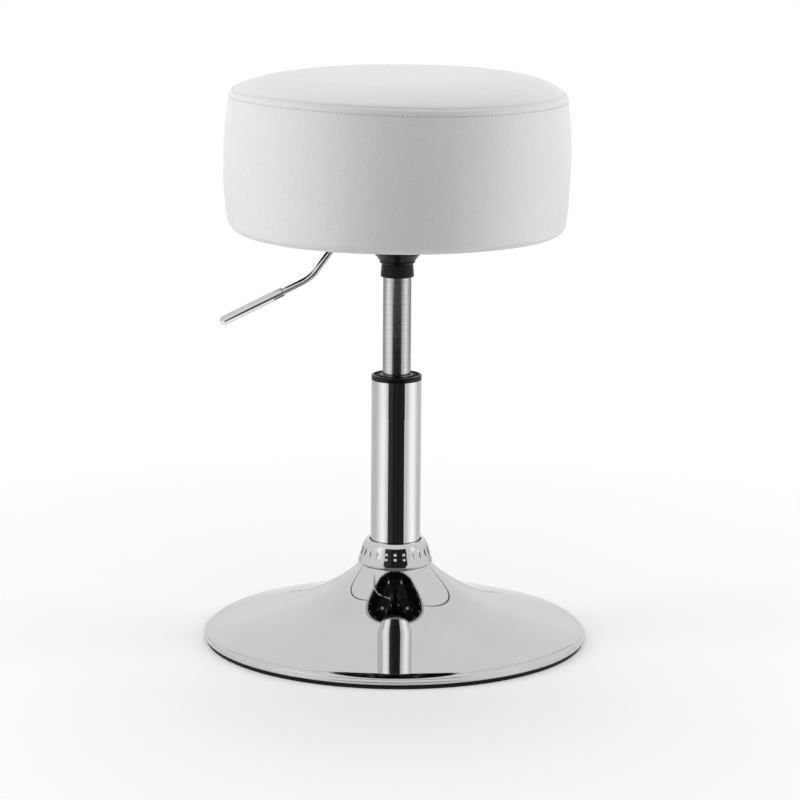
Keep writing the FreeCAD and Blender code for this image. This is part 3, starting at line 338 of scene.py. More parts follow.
# %% Walls, ring card and kerb
WALL_AWAY, FRONT_TOP, FRONT_SHARE, FRONT_BETWEEN = 3.0, 7.0, 1.5, (-128.0, 128.0)
RING_AWAY, RING_LOW, RING_HIGH, RING_BETWEEN = 0.3, 0.17, 0.295, (-64.0, 72.0)
BACK_BETWEEN, BACK_TOP, BACK_SHARE = (120.0, 240.0), 0.8, 0.85
KERB_AWAY, KERB_TOP = 0.25, 0.028
BACK_TONES = tuple((azimuth, 1.0) for azimuth in BACK_BETWEEN)
add_surround("front_wall", STUDIO_TONES, upright_card(WALL_AWAY, 0.0, FRONT_TOP), FRONT_BETWEEN,
             (FRONT_SHARE, FRONT_SHARE), hand="second")
add_surround("ring_card", STUDIO_TONES, upright_card(RING_AWAY, RING_LOW, RING_HIGH), RING_BETWEEN)
add_surround("back_wall", BACK_TONES, upright_card(WALL_AWAY, 0.0, BACK_TOP), BACK_BETWEEN,
             (BACK_SHARE, 1.0))
add_surround("back_kerb", BACK_TONES, upright_card(KERB_AWAY, 0.0, KERB_TOP), BACK_BETWEEN,
             (BACK_SHARE, BACK_SHARE))
print("walls at", WALL_AWAY, "m, ring card at", RING_AWAY, "m, kerb at", KERB_AWAY, "m")

# %% Strips behind and cards for the lever
STRIPS = {"left_strip": -136.0, "right_strip": 143.0}
STRIP_AWAY, STRIP_WIDTH, STRIP_BOTTOM, STRIP_TOP, STRIP_DARK = 1.3, 0.9, 0.5, 3.0, 0.01
for name, azimuth in STRIPS.items():
    beside = azimuth + STRIP_WIDTH
    strip = ((beside, STRIP_BOTTOM), (azimuth, STRIP_BOTTOM), (azimuth, STRIP_TOP), (beside, STRIP_TOP))
    add_card(name, [on_floor(turn, STRIP_AWAY, height) for turn, height in strip], STRIP_DARK)

LEVER_CARDS = {"lever_card_low": (0.29, 0.6, 1.12), "lever_card_high": (0.6, 1.1, 1.02)}
CARD_INNER, CARD_OUTER = (-0.2, -0.4), (-0.85, -0.25)
for name, (bottom, top, brightness) in LEVER_CARDS.items():
    card = ((CARD_INNER, bottom), (CARD_OUTER, bottom), (CARD_OUTER, top), (CARD_INNER, top))
    add_card(name, [(*spot, height) for spot, height in card], brightness, hand="first")

TRAY_LEFT, TRAY_RIGHT, TRAY_FRONT, TRAY_BACK, TRAY_Z, TRAY_GLOW = -0.3, -0.1, -0.045, 0.015, 0.285, 1.4
tray = ((TRAY_LEFT, TRAY_FRONT), (TRAY_RIGHT, TRAY_FRONT), (TRAY_RIGHT, TRAY_BACK), (TRAY_LEFT, TRAY_BACK))
add_card("lever_tray", [(x, y, TRAY_Z) for x, y in tray], TRAY_GLOW)

# %% [markdown]
# ## Shared surface effects
# Real finishes share a few effects: pebble grain in leather and moulded plastic, rings left by a lathe,
# haze from handling, rubbed edges and settled dust. Each is a node group, built once, that gives out masks
# and heights. A material then decides what the mask does to its colour, its roughness or its relief.

# %% A group with named sockets
def new_group(name, inputs, outputs):
    tree = bpy.data.node_groups.new(name, "ShaderNodeTree")
    for label, value in inputs.items():
        socket = tree.interface.new_socket(label, in_out="INPUT", socket_type="NodeSocketFloat")
        socket.default_value = value
    for label in outputs:
        tree.interface.new_socket(label, in_out="OUTPUT", socket_type="NodeSocketFloat")
    given = tree.nodes.new("NodeGroupInput").outputs
    wanted = tree.nodes.new("NodeGroupOutput").inputs
    return tree, given, wanted


def use_group(tree, name, **inputs):
    node = place(tree, "ShaderNodeGroup", node_tree=bpy.data.node_groups[name])
    for label, value in inputs.items():
        node.inputs[label.capitalize()].default_value = value
    return node.outputs


print("group helper ready")

# %% Pebble grain
tree, given, wanted = new_group("pebble_grain", {"Cells": 900.0}, ["Height", "Crease"])
cells = place(tree, "ShaderNodeTexVoronoi", feature="SMOOTH_F1",
              inputs={"Vector": object_place(tree), "Scale": given["Cells"], "Randomness": 0.9})
ripple = place(tree, "ShaderNodeTexNoise",
               {"Vector": object_place(tree), "Scale": combine(tree, "MULTIPLY", given["Cells"], 0.45)})
dome = remap(tree, cells.outputs["Distance"], 1.0, 0.0, 0.0, 0.75)
tree.links.new(combine(tree, "MULTIPLY_ADD", dome, ripple.outputs[0]), wanted["Height"])
# This mask is high in the valleys between the pebbles; leather and foam paint shade there with it.
tree.links.new(remap(tree, cells.outputs["Distance"], 0.0, 1.0, 0.45, 0.8), wanted["Crease"])
print("pebble_grain sockets", [s.name for s in tree.interface.items_tree])

# %% Lathe rings
tree, given, wanted = new_group("lathe_rings", {"Pitch": 3000.0}, ["Height", "Tone"])
level = place(tree, "ShaderNodeSeparateXYZ", {0: object_place(tree)}).outputs["Z"]
fine = place(tree, "ShaderNodeTexNoise", {"W": level, "Scale": given["Pitch"], "Detail": 3.0},
             noise_dimensions="1D")
broad = place(tree, "ShaderNodeTexNoise",
              {"W": level, "Scale": combine(tree, "MULTIPLY", given["Pitch"], 0.06)}, noise_dimensions="1D")
tree.links.new(fine.outputs[0], wanted["Height"])
tree.links.new(remap(tree, broad.outputs[0], 0.0, 1.0, 0.35, 0.65), wanted["Tone"])
print("lathe_rings sockets", [s.name for s in tree.interface.items_tree])

# %% Handling haze
tree, given, wanted = new_group("handling_haze", {"Blotches": 18.0}, ["Haze", "Scratch"])
blots = place(tree, "ShaderNodeTexNoise",
              {"Vector": object_place(tree), "Scale": given["Blotches"], "Detail": 5.0, "Roughness": 0.62})
stretched = place(tree, "ShaderNodeMapping", {"Vector": object_place(tree), "Scale": (9.0, 1.0, 1.0),
                                              "Rotation": (0.4, 0.9, 0.3)})
lines = place(tree, "ShaderNodeTexNoise",
              {"Vector": stretched.outputs[0], "Scale": combine(tree, "MULTIPLY", given["Blotches"], 6.0),
               "Detail": 2.0})
tree.links.new(remap(tree, blots.outputs[0], 0.0, 1.0, 0.45, 0.78), wanted["Haze"])
tree.links.new(remap(tree, lines.outputs[0], 0.0, 1.0, 0.66, 0.74), wanted["Scratch"])
print("handling_haze sockets", [s.name for s in tree.interface.items_tree])

# %% Rubbed edges
tree, given, wanted = new_group("rubbed_edge", {"Reach": 0.0008}, ["Edge"])
rounded = place(tree, "ShaderNodeBevel", {"Radius": given["Reach"]}, samples=4)
flat = place(tree, "ShaderNodeNewGeometry").outputs["Normal"]
agree = place(tree, "ShaderNodeVectorMath", {0: rounded.outputs[0], 1: flat}, operation="DOT_PRODUCT")
tree.links.new(remap(tree, agree.outputs["Value"], 1.0, 0.0, 0.8, 0.99), wanted["Edge"])
print("rubbed_edge sockets", [s.name for s in tree.interface.items_tree])

# %% Settled dust
tree, given, wanted = new_group("settled_dust", {"Specks": 260.0}, ["Dust"])
outward = place(tree, "ShaderNodeNewGeometry").outputs["Normal"]
facing_up = place(tree, "ShaderNodeSeparateXYZ", {0: outward})
specks = place(tree, "ShaderNodeTexNoise",
               {"Vector": object_place(tree), "Scale": given["Specks"], "Detail": 6.0, "Roughness": 0.7})
film = remap(tree, facing_up.outputs["Z"], 0.0, 1.0, 0.2, 1.0)
tree.links.new(combine(tree, "MULTIPLY", film, remap(tree, specks.outputs[0], 0.0, 1.0, 0.4, 0.75)),
               wanted["Dust"])
print("settled_dust sockets", [s.name for s in tree.interface.items_tree])

# %% [markdown]
# ## Finishes
# Each finish starts from a Principled shader with the values that are the same all over. Grain, rings,
# haze, wear and dust then change its colour, roughness and relief from place to place; shade is painted
# into the valleys of the grain and into the needle holes. Chrome keeps a grey colour of about 0.56, because
# real chrome plate reflects little more than half of the light.

# %% A finish with a Principled shader
def new_finish(name, **values):
    """A material, its tree and its shader; values are the shader's own sockets."""
    material, tree = new_material(name)
    shader = place(tree, "ShaderNodeBsdfPrincipled")
    for label, value in values.items():
        shader.inputs[label.replace("_", " ")].default_value = value
    put_shader(tree, shader)
    return material, tree, shader


def drive(tree, shader, label, socket):
    tree.links.new(socket, shader.inputs[label])


def raise_relief(tree, shader, height, distance, strength=1.0):
    """Relief of a finish: distance is the height of a full step of the mask."""
    bump = place(tree, "ShaderNodeBump", {"Height": height, "Distance": distance, "Strength": strength})
    drive(tree, shader, "Normal", bump.outputs[0])


def grey(value, warm=0.0):
    return (value + warm, value, value - warm, 1.0)


finishes = {}
print("finish helper ready")

# %% White coated leather
STITCH_ROW_BAND, STITCH_ROW_TOP = 5.0 * MM, 3.7 * MM
# The hole colours are painted shade in the needle holes: dark on the band, faint on the top.
LEATHER_WHITE, LEATHER_VALLEY_SHADE, BAND_HOLE_PAINTED_SHADE, TOP_HOLE_PAINTED_SHADE = grey(0.85), grey(0.78), grey(0.1), grey(0.5)
HOLE_HALF_LENGTH, HOLE_HALF_WIDTH, LEATHER_GRAIN = 0.19, 0.5 * MM, 0.04 * MM


def leather_finish(name, stitch_row, hole_shade):
    """Coated leather; pressed in round the needle holes of its stitch row, with painted shade in the holes.
    """
    material, tree, shader = new_finish(name, IOR=1.46, Specular_IOR_Level=0.4)
    grain = use_group(tree, "pebble_grain", cells=780.0)
    haze = use_group(tree, "handling_haze", blotches=7.0)
    seam_map = place(tree, "ShaderNodeUVMap", uv_map="seam")
    seam = place(tree, "ShaderNodeSeparateXYZ", {0: seam_map.outputs[0]})
    along = combine(tree, "PINGPONG", seam.outputs["X"], 0.5)
    across = combine(tree, "SUBTRACT", seam.outputs["Y"], stitch_row)
    long_part = combine(tree, "DIVIDE", along, HOLE_HALF_LENGTH)
    wide_part = combine(tree, "DIVIDE", across, HOLE_HALF_WIDTH)
    squares = [combine(tree, "MULTIPLY", part, part) for part in (long_part, wide_part)]
    # This mask marks the needle holes, where shade is painted into the colour.
    hole = remap(tree, combine(tree, "ADD", *squares), 1.0, 0.0, 0.5, 1.3)
    # The grain's valleys get painted shade: a slightly darker white between the pebbles.
    tone = mix_colours(tree, grain["Crease"], LEATHER_WHITE, LEATHER_VALLEY_SHADE)
    drive(tree, shader, "Base Color", mix_colours(tree, hole, tone, hole_shade))
    drive(tree, shader, "Roughness", remap(tree, haze["Haze"], 0.44, 0.36))
    raise_relief(tree, shader, grain["Height"], LEATHER_GRAIN, 0.6)
    return material


finishes["white_leather"] = leather_finish("leather_band", STITCH_ROW_BAND, BAND_HOLE_PAINTED_SHADE)
top_leather = leather_finish("leather_top", STITCH_ROW_TOP, TOP_HOLE_PAINTED_SHADE)
print("leather finishes", finishes["white_leather"].name, top_leather.name)

# %% Chrome plate
CHROME, CHROME_HAZED, POLISH_WAVE = (0.56, 0.563, 0.568, 1.0), (0.53, 0.533, 0.538, 1.0), 0.03 * MM
material, tree, shader = new_finish("chrome_plate", Metallic=1.0)
haze = use_group(tree, "handling_haze", blotches=14.0)
dust = use_group(tree, "settled_dust")
drive(tree, shader, "Base Color", mix_colours(tree, haze["Haze"], CHROME, CHROME_HAZED))
veil = combine(tree, "MULTIPLY_ADD", haze["Haze"], 0.6)
tree.links.new(dust["Dust"], veil.node.inputs[2])
drive(tree, shader, "Roughness", remap(tree, veil, 0.02, 0.06))
swell = place(tree, "ShaderNodeTexNoise", {"Vector": object_place(tree), "Scale": 30.0, "Detail": 1.0})
raise_relief(tree, shader, swell.outputs[0], POLISH_WAVE, 0.35)
finishes["chrome"] = material
print("chrome", CHROME[:3])

# %% Turned and plated steels
STEEL_EDGE, STEEL_RELIEF = 0.4 * MM, 0.01 * MM


def steel_finish(name, light, dark, pitch, smooth, rough):
    """Bare steel: rings from the lathe or the grinding wheel, a little haze, bright rubbed edges."""
    material, tree, shader = new_finish(name, Metallic=1.0)
    rings = use_group(tree, "lathe_rings", pitch=pitch)
    haze = use_group(tree, "handling_haze", blotches=25.0)
    edge = use_group(tree, "rubbed_edge", reach=STEEL_EDGE)
    body = mix_colours(tree, rings["Tone"], light, dark)
    drive(tree, shader, "Base Color", mix_colours(tree, edge["Edge"], body, light))
    drive(tree, shader, "Roughness", remap(tree, haze["Haze"], smooth, rough))
    raise_relief(tree, shader, rings["Height"], STEEL_RELIEF, 0.5)
    return material


finishes["satin_steel"] = steel_finish(
    "satin_column", light=grey(0.43), dark=grey(0.39), pitch=5200.0, smooth=0.17, rough=0.22)
finishes["bearing_steel"] = steel_finish(
    "ground_steel", light=grey(0.68), dark=grey(0.6), pitch=7000.0, smooth=0.12, rough=0.2)
finishes["zinc_steel"] = steel_finish(
    "zinc_plate", light=grey(0.66, -0.01), dark=grey(0.56, -0.01), pitch=900.0, smooth=0.3, rough=0.42)
print("steels ready")

# %% Black enamel, plastic and rubber
DUST_SHARE, DUST_GREY = 0.04, grey(0.4)


def black_finish(name, colour, worn, cells, smooth, rough, relief, edge_reach, **values):
    """A black piece: faint grain, haze, a paler rubbed edge and dust where it faces up."""
    material, tree, shader = new_finish(name, **values)
    grain = use_group(tree, "pebble_grain", cells=cells)
    haze = use_group(tree, "handling_haze", blotches=30.0)
    edge = use_group(tree, "rubbed_edge", reach=edge_reach)
    dust = use_group(tree, "settled_dust")
    body = mix_colours(tree, edge["Edge"], colour, worn)
    film = combine(tree, "MULTIPLY", dust["Dust"], DUST_SHARE)
    drive(tree, shader, "Base Color", mix_colours(tree, film, body, DUST_GREY))
    drive(tree, shader, "Roughness", remap(tree, haze["Haze"], smooth, rough))
    raise_relief(tree, shader, grain["Height"], relief, 0.5)
    return material


finishes["black_steel"] = black_finish(
    "black_enamel", colour=grey(0.006), worn=grey(0.014), cells=500.0, smooth=0.22, rough=0.34,
    relief=0.02 * MM, edge_reach=0.6 * MM, Specular_IOR_Level=0.16)
finishes["black_plastic"] = black_finish(
    "moulded_black", colour=grey(0.006), worn=grey(0.014), cells=1600.0, smooth=0.27, rough=0.4,
    relief=0.03 * MM, edge_reach=0.5 * MM, Specular_IOR_Level=0.16)
finishes["rubber"] = black_finish(
    "floor_rubber", colour=grey(0.008), worn=grey(0.018), cells=1100.0, smooth=0.6, rough=0.75,
    relief=0.05 * MM, edge_reach=0.8 * MM, Specular_IOR_Level=0.2)
print("blacks ready")

# %% Natural acetal
ACETAL, ACETAL_HAZED = (0.78, 0.77, 0.72, 1.0), (0.72, 0.7, 0.64, 1.0)
material, tree, shader = new_finish(
    "natural_acetal", Subsurface_Weight=0.15, Subsurface_Radius=(0.002, 0.002, 0.0015))
haze = use_group(tree, "handling_haze", blotches=40.0)
drive(tree, shader, "Base Color", mix_colours(tree, haze["Haze"], ACETAL, ACETAL_HAZED))
drive(tree, shader, "Roughness", remap(tree, haze["Haze"], 0.34, 0.5))
finishes["pale_plastic"] = material
print("acetal", ACETAL[:3])

# %% Raw plywood
PLY_LAYERS, FIBRE_STRETCH, FIBRE_RELIEF = 400.0, (12.0, 160.0, 160.0), 0.1 * MM
PLY_LIGHT, PLY_DARK, PLY_GLUE = (0.62, 0.47, 0.31, 1.0), (0.45, 0.31, 0.19, 1.0), (0.34, 0.22, 0.13, 1.0)
material, tree, shader = new_finish("raw_plywood")
spot = place(tree, "ShaderNodeSeparateXYZ", {0: object_place(tree)})
layer = combine(tree, "PINGPONG", combine(tree, "MULTIPLY", spot.outputs["Z"], PLY_LAYERS), 1.0)
stretch = place(tree, "ShaderNodeMapping", {"Vector": object_place(tree), "Scale": FIBRE_STRETCH})
fibre = place(tree, "ShaderNodeTexNoise", {"Vector": stretch.outputs[0], "Scale": 1.0, "Detail": 6.0})
veneer = mix_colours(tree, remap(tree, fibre.outputs[0], 0.0, 1.0, 0.35, 0.7), PLY_LIGHT, PLY_DARK)
glue_line = remap(tree, layer, 0.0, 0.6, 0.4, 0.6)
drive(tree, shader, "Base Color", mix_colours(tree, glue_line, veneer, PLY_GLUE))
drive(tree, shader, "Roughness", remap(tree, fibre.outputs[0], 0.55, 0.8))
raise_relief(tree, shader, fibre.outputs[0], FIBRE_RELIEF, 0.6)
finishes["plywood"] = material
print("plywood", PLY_LIGHT[:3])

# %% Foam cells
FOAM_LIGHT, FOAM_PORE_SHADE, FOAM_RELIEF = (0.83, 0.78, 0.62, 1.0), (0.6, 0.54, 0.38, 1.0), 0.3 * MM
material, tree, shader = new_finish("seat_foam_cells", Specular_IOR_Level=0.2)
grain = use_group(tree, "pebble_grain", cells=1300.0)
# The pores get painted shade: a darker tan in the valleys of the grain.
drive(tree, shader, "Base Color", mix_colours(tree, grain["Crease"], FOAM_LIGHT, FOAM_PORE_SHADE))
drive(tree, shader, "Roughness", remap(tree, grain["Crease"], 0.8, 1.0))
raise_relief(tree, shader, grain["Height"], FOAM_RELIEF)
finishes["foam"] = material
print("foam", FOAM_LIGHT[:3])

# %% Non-woven cloth and thread
CLOTH_BLACK, CLOTH_FIBRE, CLOTH_RELIEF = grey(0.003), grey(0.008), 0.1 * MM
material, tree, shader = new_finish("black_dust_cloth", Specular_IOR_Level=0.02)
tangle = {"Scale": 420.0, "Detail": 8.0, "Roughness": 0.75, "Distortion": 2.5}
fibre = place(tree, "ShaderNodeTexNoise", {"Vector": object_place(tree), **tangle})
points = use_group(tree, "pebble_grain", cells=620.0)
strands = remap(tree, fibre.outputs[0], 0.0, 1.0, 0.4, 0.7)
drive(tree, shader, "Base Color", mix_colours(tree, strands, CLOTH_BLACK, CLOTH_FIBRE))
drive(tree, shader, "Roughness", remap(tree, fibre.outputs[0], 0.7, 0.95))
raise_relief(tree, shader, points["Height"], CLOTH_RELIEF)
finishes["black_cloth"] = material

THREAD_LIGHT, THREAD_SHADE, THREAD_RELIEF = grey(0.86), grey(0.7), 0.08 * MM
material, tree, shader = new_finish("white_thread", Sheen_Weight=0.3)
twist = place(tree, "ShaderNodeTexNoise", {"Vector": object_place(tree), "Scale": 2600.0, "Detail": 2.0})
drive(tree, shader, "Base Color", mix_colours(tree, twist.outputs[0], THREAD_LIGHT, THREAD_SHADE))
drive(tree, shader, "Roughness", remap(tree, twist.outputs[0], 0.55, 0.75))
raise_relief(tree, shader, twist.outputs[0], THREAD_RELIEF)
finishes["thread"] = material
print("finishes", sorted(finishes))

# %% Finishes on the solid parts
slot_of = {row["node"]: row["material_slot"] for row in frame["record"]["subparts"]}
for name, node in frame["nodes"].items():
    for material_slot in node.material_slots:
        material_slot.material = finishes[slot_of[name]]
print("dressed", len(slot_of), "solid parts")

# %% [markdown]
# ## Trumpet base
# The base is one sheet of steel, spun over a form until it flares like a trumpet, rolled down to a beaded
# lip and chromed. The solid has this shape already, but a mirror shows every flat of a mesh that was cut
# for size. So a finer skin is turned from the same curve: a tight bend at the neck, a wide flare and a
# straight skirt. The rim rolls down in two bends, a soft shoulder and then a tighter turn to the bead,
# because a mirror shows the dark seat above it as a crescent only where the bend is slow.

# %% Trumpet base
shell_low, shell_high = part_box("base_shell")
BASE_R, NECK_Z, EDGE_Z = shell_high.x, shell_high.z, shell_low.z
NECK_R, BORE_R, WALL = 33.5 * MM, 26.5 * MM, 1.2 * MM
BEAD_R, LIP_WIDTH, ROLL_WIDTH, ROLL_HEIGHT = 1.2 * MM, 1.9 * MM, 9.0 * MM, 6.5 * MM
ROLL_R, SHOULDER_SLOPE = 25.0 * MM, math.radians(35.0)
NECK_SLOPE, FLARE_SLOPE = math.radians(50.0), math.radians(40.0)
NECK_BEND, FLARE_TIGHTNESS = 80.0 * MM, 0.75
CORNER_HOLD = 0.12 * MM
BASE_COLUMNS = 440


def arc(start, end, radius, count):
    """Points on the short arc from start to end, without start; it turns left for a positive radius."""
    start, end = Vector(start), Vector(end)
    chord = end - start
    side = Vector((-chord.y, chord.x)).normalized() * math.copysign(1.0, radius)
    centre = (start + end) / 2 + side * math.sqrt(radius ** 2 - chord.length_squared / 4)
    first = math.atan2(start.y - centre.y, start.x - centre.x)
    sweep = math.copysign(2 * math.asin(chord.length / 2 / abs(radius)), radius)
    turns = [first + sweep * step / count for step in range(1, count + 1)]
    return [(centre.x + abs(radius) * math.cos(t), centre.y + abs(radius) * math.sin(t)) for t in turns]


def line(start, end, count):
    return [tuple(Vector(start).lerp(Vector(end), step / count)) for step in range(1, count + 1)]


def trumpet_outline():
    """The skin's cross-section from the bead up to the neck, and back down inside."""
    lip_z = EDGE_Z + 2 * BEAD_R
    nose, step_r = BASE_R - BEAD_R, BASE_R - LIP_WIDTH
    rim = (step_r - ROLL_WIDTH, lip_z + ROLL_HEIGHT)
    bend = (NECK_R + NECK_BEND * (math.sin(NECK_SLOPE) - math.sin(FLARE_SLOPE)),
            NECK_Z - NECK_BEND * (math.cos(FLARE_SLOPE) - math.cos(NECK_SLOPE)))
    out, down = rim[0] - bend[0], bend[1] - rim[1]
    reach = (out ** 2 + down ** 2) / (2 * (out * math.sin(FLARE_SLOPE) - down * math.cos(FLARE_SLOPE)))
    wide = reach * FLARE_TIGHTNESS
    middle = (bend[0] + wide * math.sin(FLARE_SLOPE), bend[1] + wide * math.cos(FLARE_SLOPE))
    beyond, above = middle[0] - rim[0], middle[1] - rim[1]
    slope = math.atan(beyond / above) + math.acos(wide / math.hypot(beyond, above))
    skirt = (middle[0] - wide * math.sin(slope), middle[1] - wide * math.cos(slope))
    shoulder = (rim[0] + ROLL_R * (math.sin(SHOULDER_SLOPE) - math.sin(slope)),
                rim[1] - ROLL_R * (math.cos(slope) - math.cos(SHOULDER_SLOPE)))
    reach_out, fall = step_r - shoulder[0], shoulder[1] - lip_z - CORNER_HOLD
    turn_r = math.hypot(reach_out, fall) / 2 / math.sin(math.atan2(fall, reach_out) - SHOULDER_SLOPE)
    print("skirt slope", round(math.degrees(slope), 1), "flare", round(wide / MM), "mm")
    points = [(nose, EDGE_Z)]
    points += arc(points[-1], (BASE_R, EDGE_Z + BEAD_R), BEAD_R, 10)
    points += arc(points[-1], (nose, lip_z), BEAD_R, 10)
    points += line(points[-1], (step_r + CORNER_HOLD, lip_z), 3)
    points += line(points[-1], (step_r, lip_z + CORNER_HOLD), 2)
    points += arc(points[-1], shoulder, turn_r, 12)
    points += arc(points[-1], rim, ROLL_R, 24)
    points += line(points[-1], skirt, 40)
    points += arc(points[-1], bend, -wide, 60)
    points += arc(points[-1], (NECK_R, NECK_Z - CORNER_HOLD), -NECK_BEND, 24)
    points += line(points[-1], (NECK_R - CORNER_HOLD, NECK_Z), 2)
    points += line(points[-1], (BORE_R, NECK_Z), 3)
    points += line(points[-1], (BORE_R, NECK_Z - WALL), 2)
    inner = [(r - WALL * math.sin(FLARE_SLOPE), z - WALL) for r, z in line((NECK_R, NECK_Z), bend, 4)]
    inner += [(r - WALL * math.sin(slope), z - WALL) for r, z in arc(bend, skirt, wide, 16)]
    inner += [(rim[0] - WALL, rim[1] - WALL), (rim[0] - WALL, EDGE_Z)]
    return points + inner


def turn_ring(outline, columns):
    """Points and faces of a closed ring turned from a closed outline."""
    turns = [2 * math.pi * column / columns for column in range(columns)]
    points = [(r * math.cos(turn), r * math.sin(turn), z) for r, z in outline for turn in turns]
    faces = [face[::-1] for face in ring_faces(len(outline), columns)]
    last = (len(outline) - 1) * columns
    for column in range(columns):
        beside = (column + 1) % columns
        faces.append((column, last + column, last + beside, beside)[::-1])
    return points, faces


trumpet = add_piece("trumpet_base", *turn_ring(trumpet_outline(), BASE_COLUMNS))
trumpet.data.materials.append(finishes["chrome"])
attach(trumpet, "base")
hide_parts("base_shell")
print("trumpet", len(trumpet.data.vertices), "points")

# %% [markdown]
# ## Release lever's rod
# The lever is a round rod, flattened at one end to press on the valve, bent twice round pegs and chromed. A
# curve with a bevel would do for the bends, but not for the flat end and the boss on the pivot. So a circle
# is carried along straight runs and arcs, and the flat end and the turned boss join the same mesh.

# %% Release lever's rod
LEVER_JOINT = next(j for j in frame["record"]["behaviour"]["joints"] if j["name"] == "lever_pivot")
PIVOT_X, _, LEVER_Z = LEVER_JOINT["pos_m"]
ROD_R, ROD_COLUMNS, ROD_START, ROD_END = 3.25 * MM, 24, -10.0 * MM, 95.0 * MM
ELBOW_AWAY, DROP_LENGTH, ELBOW_BEND, KNEE_BEND = 32.6 * MM, 46.2 * MM, 10.0 * MM, 40.0 * MM
DROP_SLOPE, GRIP_SLOPE = math.radians(54.0), math.radians(26.8)
FLAT_TIP, FLAT_LENGTH, FLAT_HALF_WIDTH, FLAT_HALF = 4.0 * MM, 20.0 * MM, 4.5 * MM, 1.5 * MM
BOSS_R, BOSS_BORE, BOSS_HOLD = 5.5 * MM, 2.6 * MM, 4.0 * MM
BOSS_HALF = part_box("lever_rod")[1].y
LEVER_CREASE = math.radians(35.0)


def lever_line():
    """The rod's middle line in X and Z, from the boss to the grip."""
    down = Vector((-math.cos(DROP_SLOPE), -math.sin(DROP_SLOPE)))
    out = Vector((-math.cos(GRIP_SLOPE), -math.sin(GRIP_SLOPE)))
    elbow = Vector((PIVOT_X - ELBOW_AWAY, LEVER_Z))
    knee = elbow + down * DROP_LENGTH
    before = ELBOW_BEND * math.tan(DROP_SLOPE / 2)
    after = KNEE_BEND * math.tan((DROP_SLOPE - GRIP_SLOPE) / 2)
    points = [(PIVOT_X - BOSS_HOLD, LEVER_Z)]
    points += line(points[-1], (elbow.x + before, LEVER_Z), 6)
    points += arc(points[-1], elbow + down * before, ELBOW_BEND, 16)
    points += line(points[-1], knee - down * after, 6)
    points += arc(points[-1], knee + out * after, -KNEE_BEND, 16)
    return points + line(points[-1], knee + out * ROD_END, 8)


def round_bar(middle):
    """A circle carried along a line in X and Z, with a cap at each end."""
    points = []
    for before, here, after in zip(middle[:1] + middle, middle, middle[1:] + middle[-1:]):
        ahead = (Vector(after) - Vector(before)).normalized()
        for column in range(ROD_COLUMNS):
            turn = 2 * math.pi * column / ROD_COLUMNS
            lift, side = ROD_R * math.cos(turn), ROD_R * math.sin(turn)
            points.append((here[0] - ahead.y * lift, side, here[1] + ahead.x * lift))
    return points, closed_faces(len(middle), ROD_COLUMNS)


def flat_end():
    """The pressed end over the valve: a bar with a round tip."""
    middle = FLAT_TIP - FLAT_HALF_WIDTH
    rounded = [(middle + FLAT_HALF_WIDTH * math.cos(turn), FLAT_HALF_WIDTH * math.sin(turn))
               for turn in np.linspace(-math.pi / 2, math.pi / 2, 17)]
    back = FLAT_TIP - FLAT_LENGTH
    outline = rounded + [(back, FLAT_HALF_WIDTH), (back, -FLAT_HALF_WIDTH)]
    points = [(x, y, LEVER_Z + level) for level in (FLAT_HALF, -FLAT_HALF) for x, y in outline]
    return points, closed_faces(2, len(outline))


def pivot_boss():
    """The short tube that turns on the pivot pin, across the rod."""
    outline = [(BOSS_BORE, -BOSS_HALF), (BOSS_R, -BOSS_HALF), (BOSS_R, BOSS_HALF), (BOSS_BORE, BOSS_HALF)]
    points, faces = turn_ring(outline, 2 * ROD_COLUMNS)
    return [(PIVOT_X + x, -z, LEVER_Z + y) for x, y, z in points], faces


lever_points, lever_faces = [], []
neck = [(ROD_START, LEVER_Z), (PIVOT_X + BOSS_HOLD, LEVER_Z)]
for points, faces in (round_bar(lever_line()), round_bar(neck), flat_end(), pivot_boss()):
    lever_faces += [[len(lever_points) + corner for corner in face] for face in faces]
    lever_points += points
lever_bar = add_piece("lever_bar", lever_points, lever_faces)
lever_bar.data.set_sharp_from_angle(angle=LEVER_CREASE)
lever_bar.data.materials.append(finishes["chrome"])
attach(lever_bar, "lever")
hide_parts("lever_rod")
print("lever bar", len(lever_points), "points")

# %% [markdown]
# ## The padded seat
# The seat is a foam drum under two pieces of white coated leather: a crowned top panel and a side band,
# sewn together round the edge and pulled under the board. Its shape could be one turned profile, but then
# it would look like plastic. So the profile only gives the pattern pieces, Blender's Cloth makes them
# uneven as padding does, and the seam, the stitch rows and the pulled folds are pressed in afterwards,
# where a sewing machine puts them.

# %% Sizes of the seat
band_low, band_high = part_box("cover_band")
top_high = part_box("cover_top")[1]
COVER_LAP = 1.25 * MM
SEAM_R, SEAM_Z = top_high.x + COVER_LAP, band_high.z
CROWN_Z, FOOT_Z = top_high.z, band_low.z
FOOT_R, UNDER_R = 166.6 * MM, 125.0 * MM
BARREL = band_high.x - (SEAM_R + FOOT_R) / 2
CORNER_R, CORNER_SWING = 11.2 * MM, -3.2 * MM
CORNER_LEAN = math.radians(9.0)
STITCHES = 248
COLUMNS = 2 * STITCHES
STITCH_LENGTH = 2 * math.pi * SEAM_R / STITCHES
print("seam at", round(SEAM_R, 4), round(SEAM_Z, 4), "stitch", round(STITCH_LENGTH / MM, 2), "mm")

# %% Pattern curves of panel and band
CROWN_POWER, CROWN_ROUND, CROWN_REACH, FINE_MARKS = 6.43, 0.865, 1.2 * MM, 2000


def crown(radius):
    """Height of the top panel: nearly flat, then rolling over ever more steeply to the seam."""
    def fullness(r):
        return (1 - (r / (SEAM_R + CROWN_REACH)) ** CROWN_POWER) ** CROWN_ROUND
    share = (fullness(radius) - fullness(SEAM_R)) / (1 - fullness(SEAM_R))
    return SEAM_Z + (CROWN_Z - SEAM_Z) * share


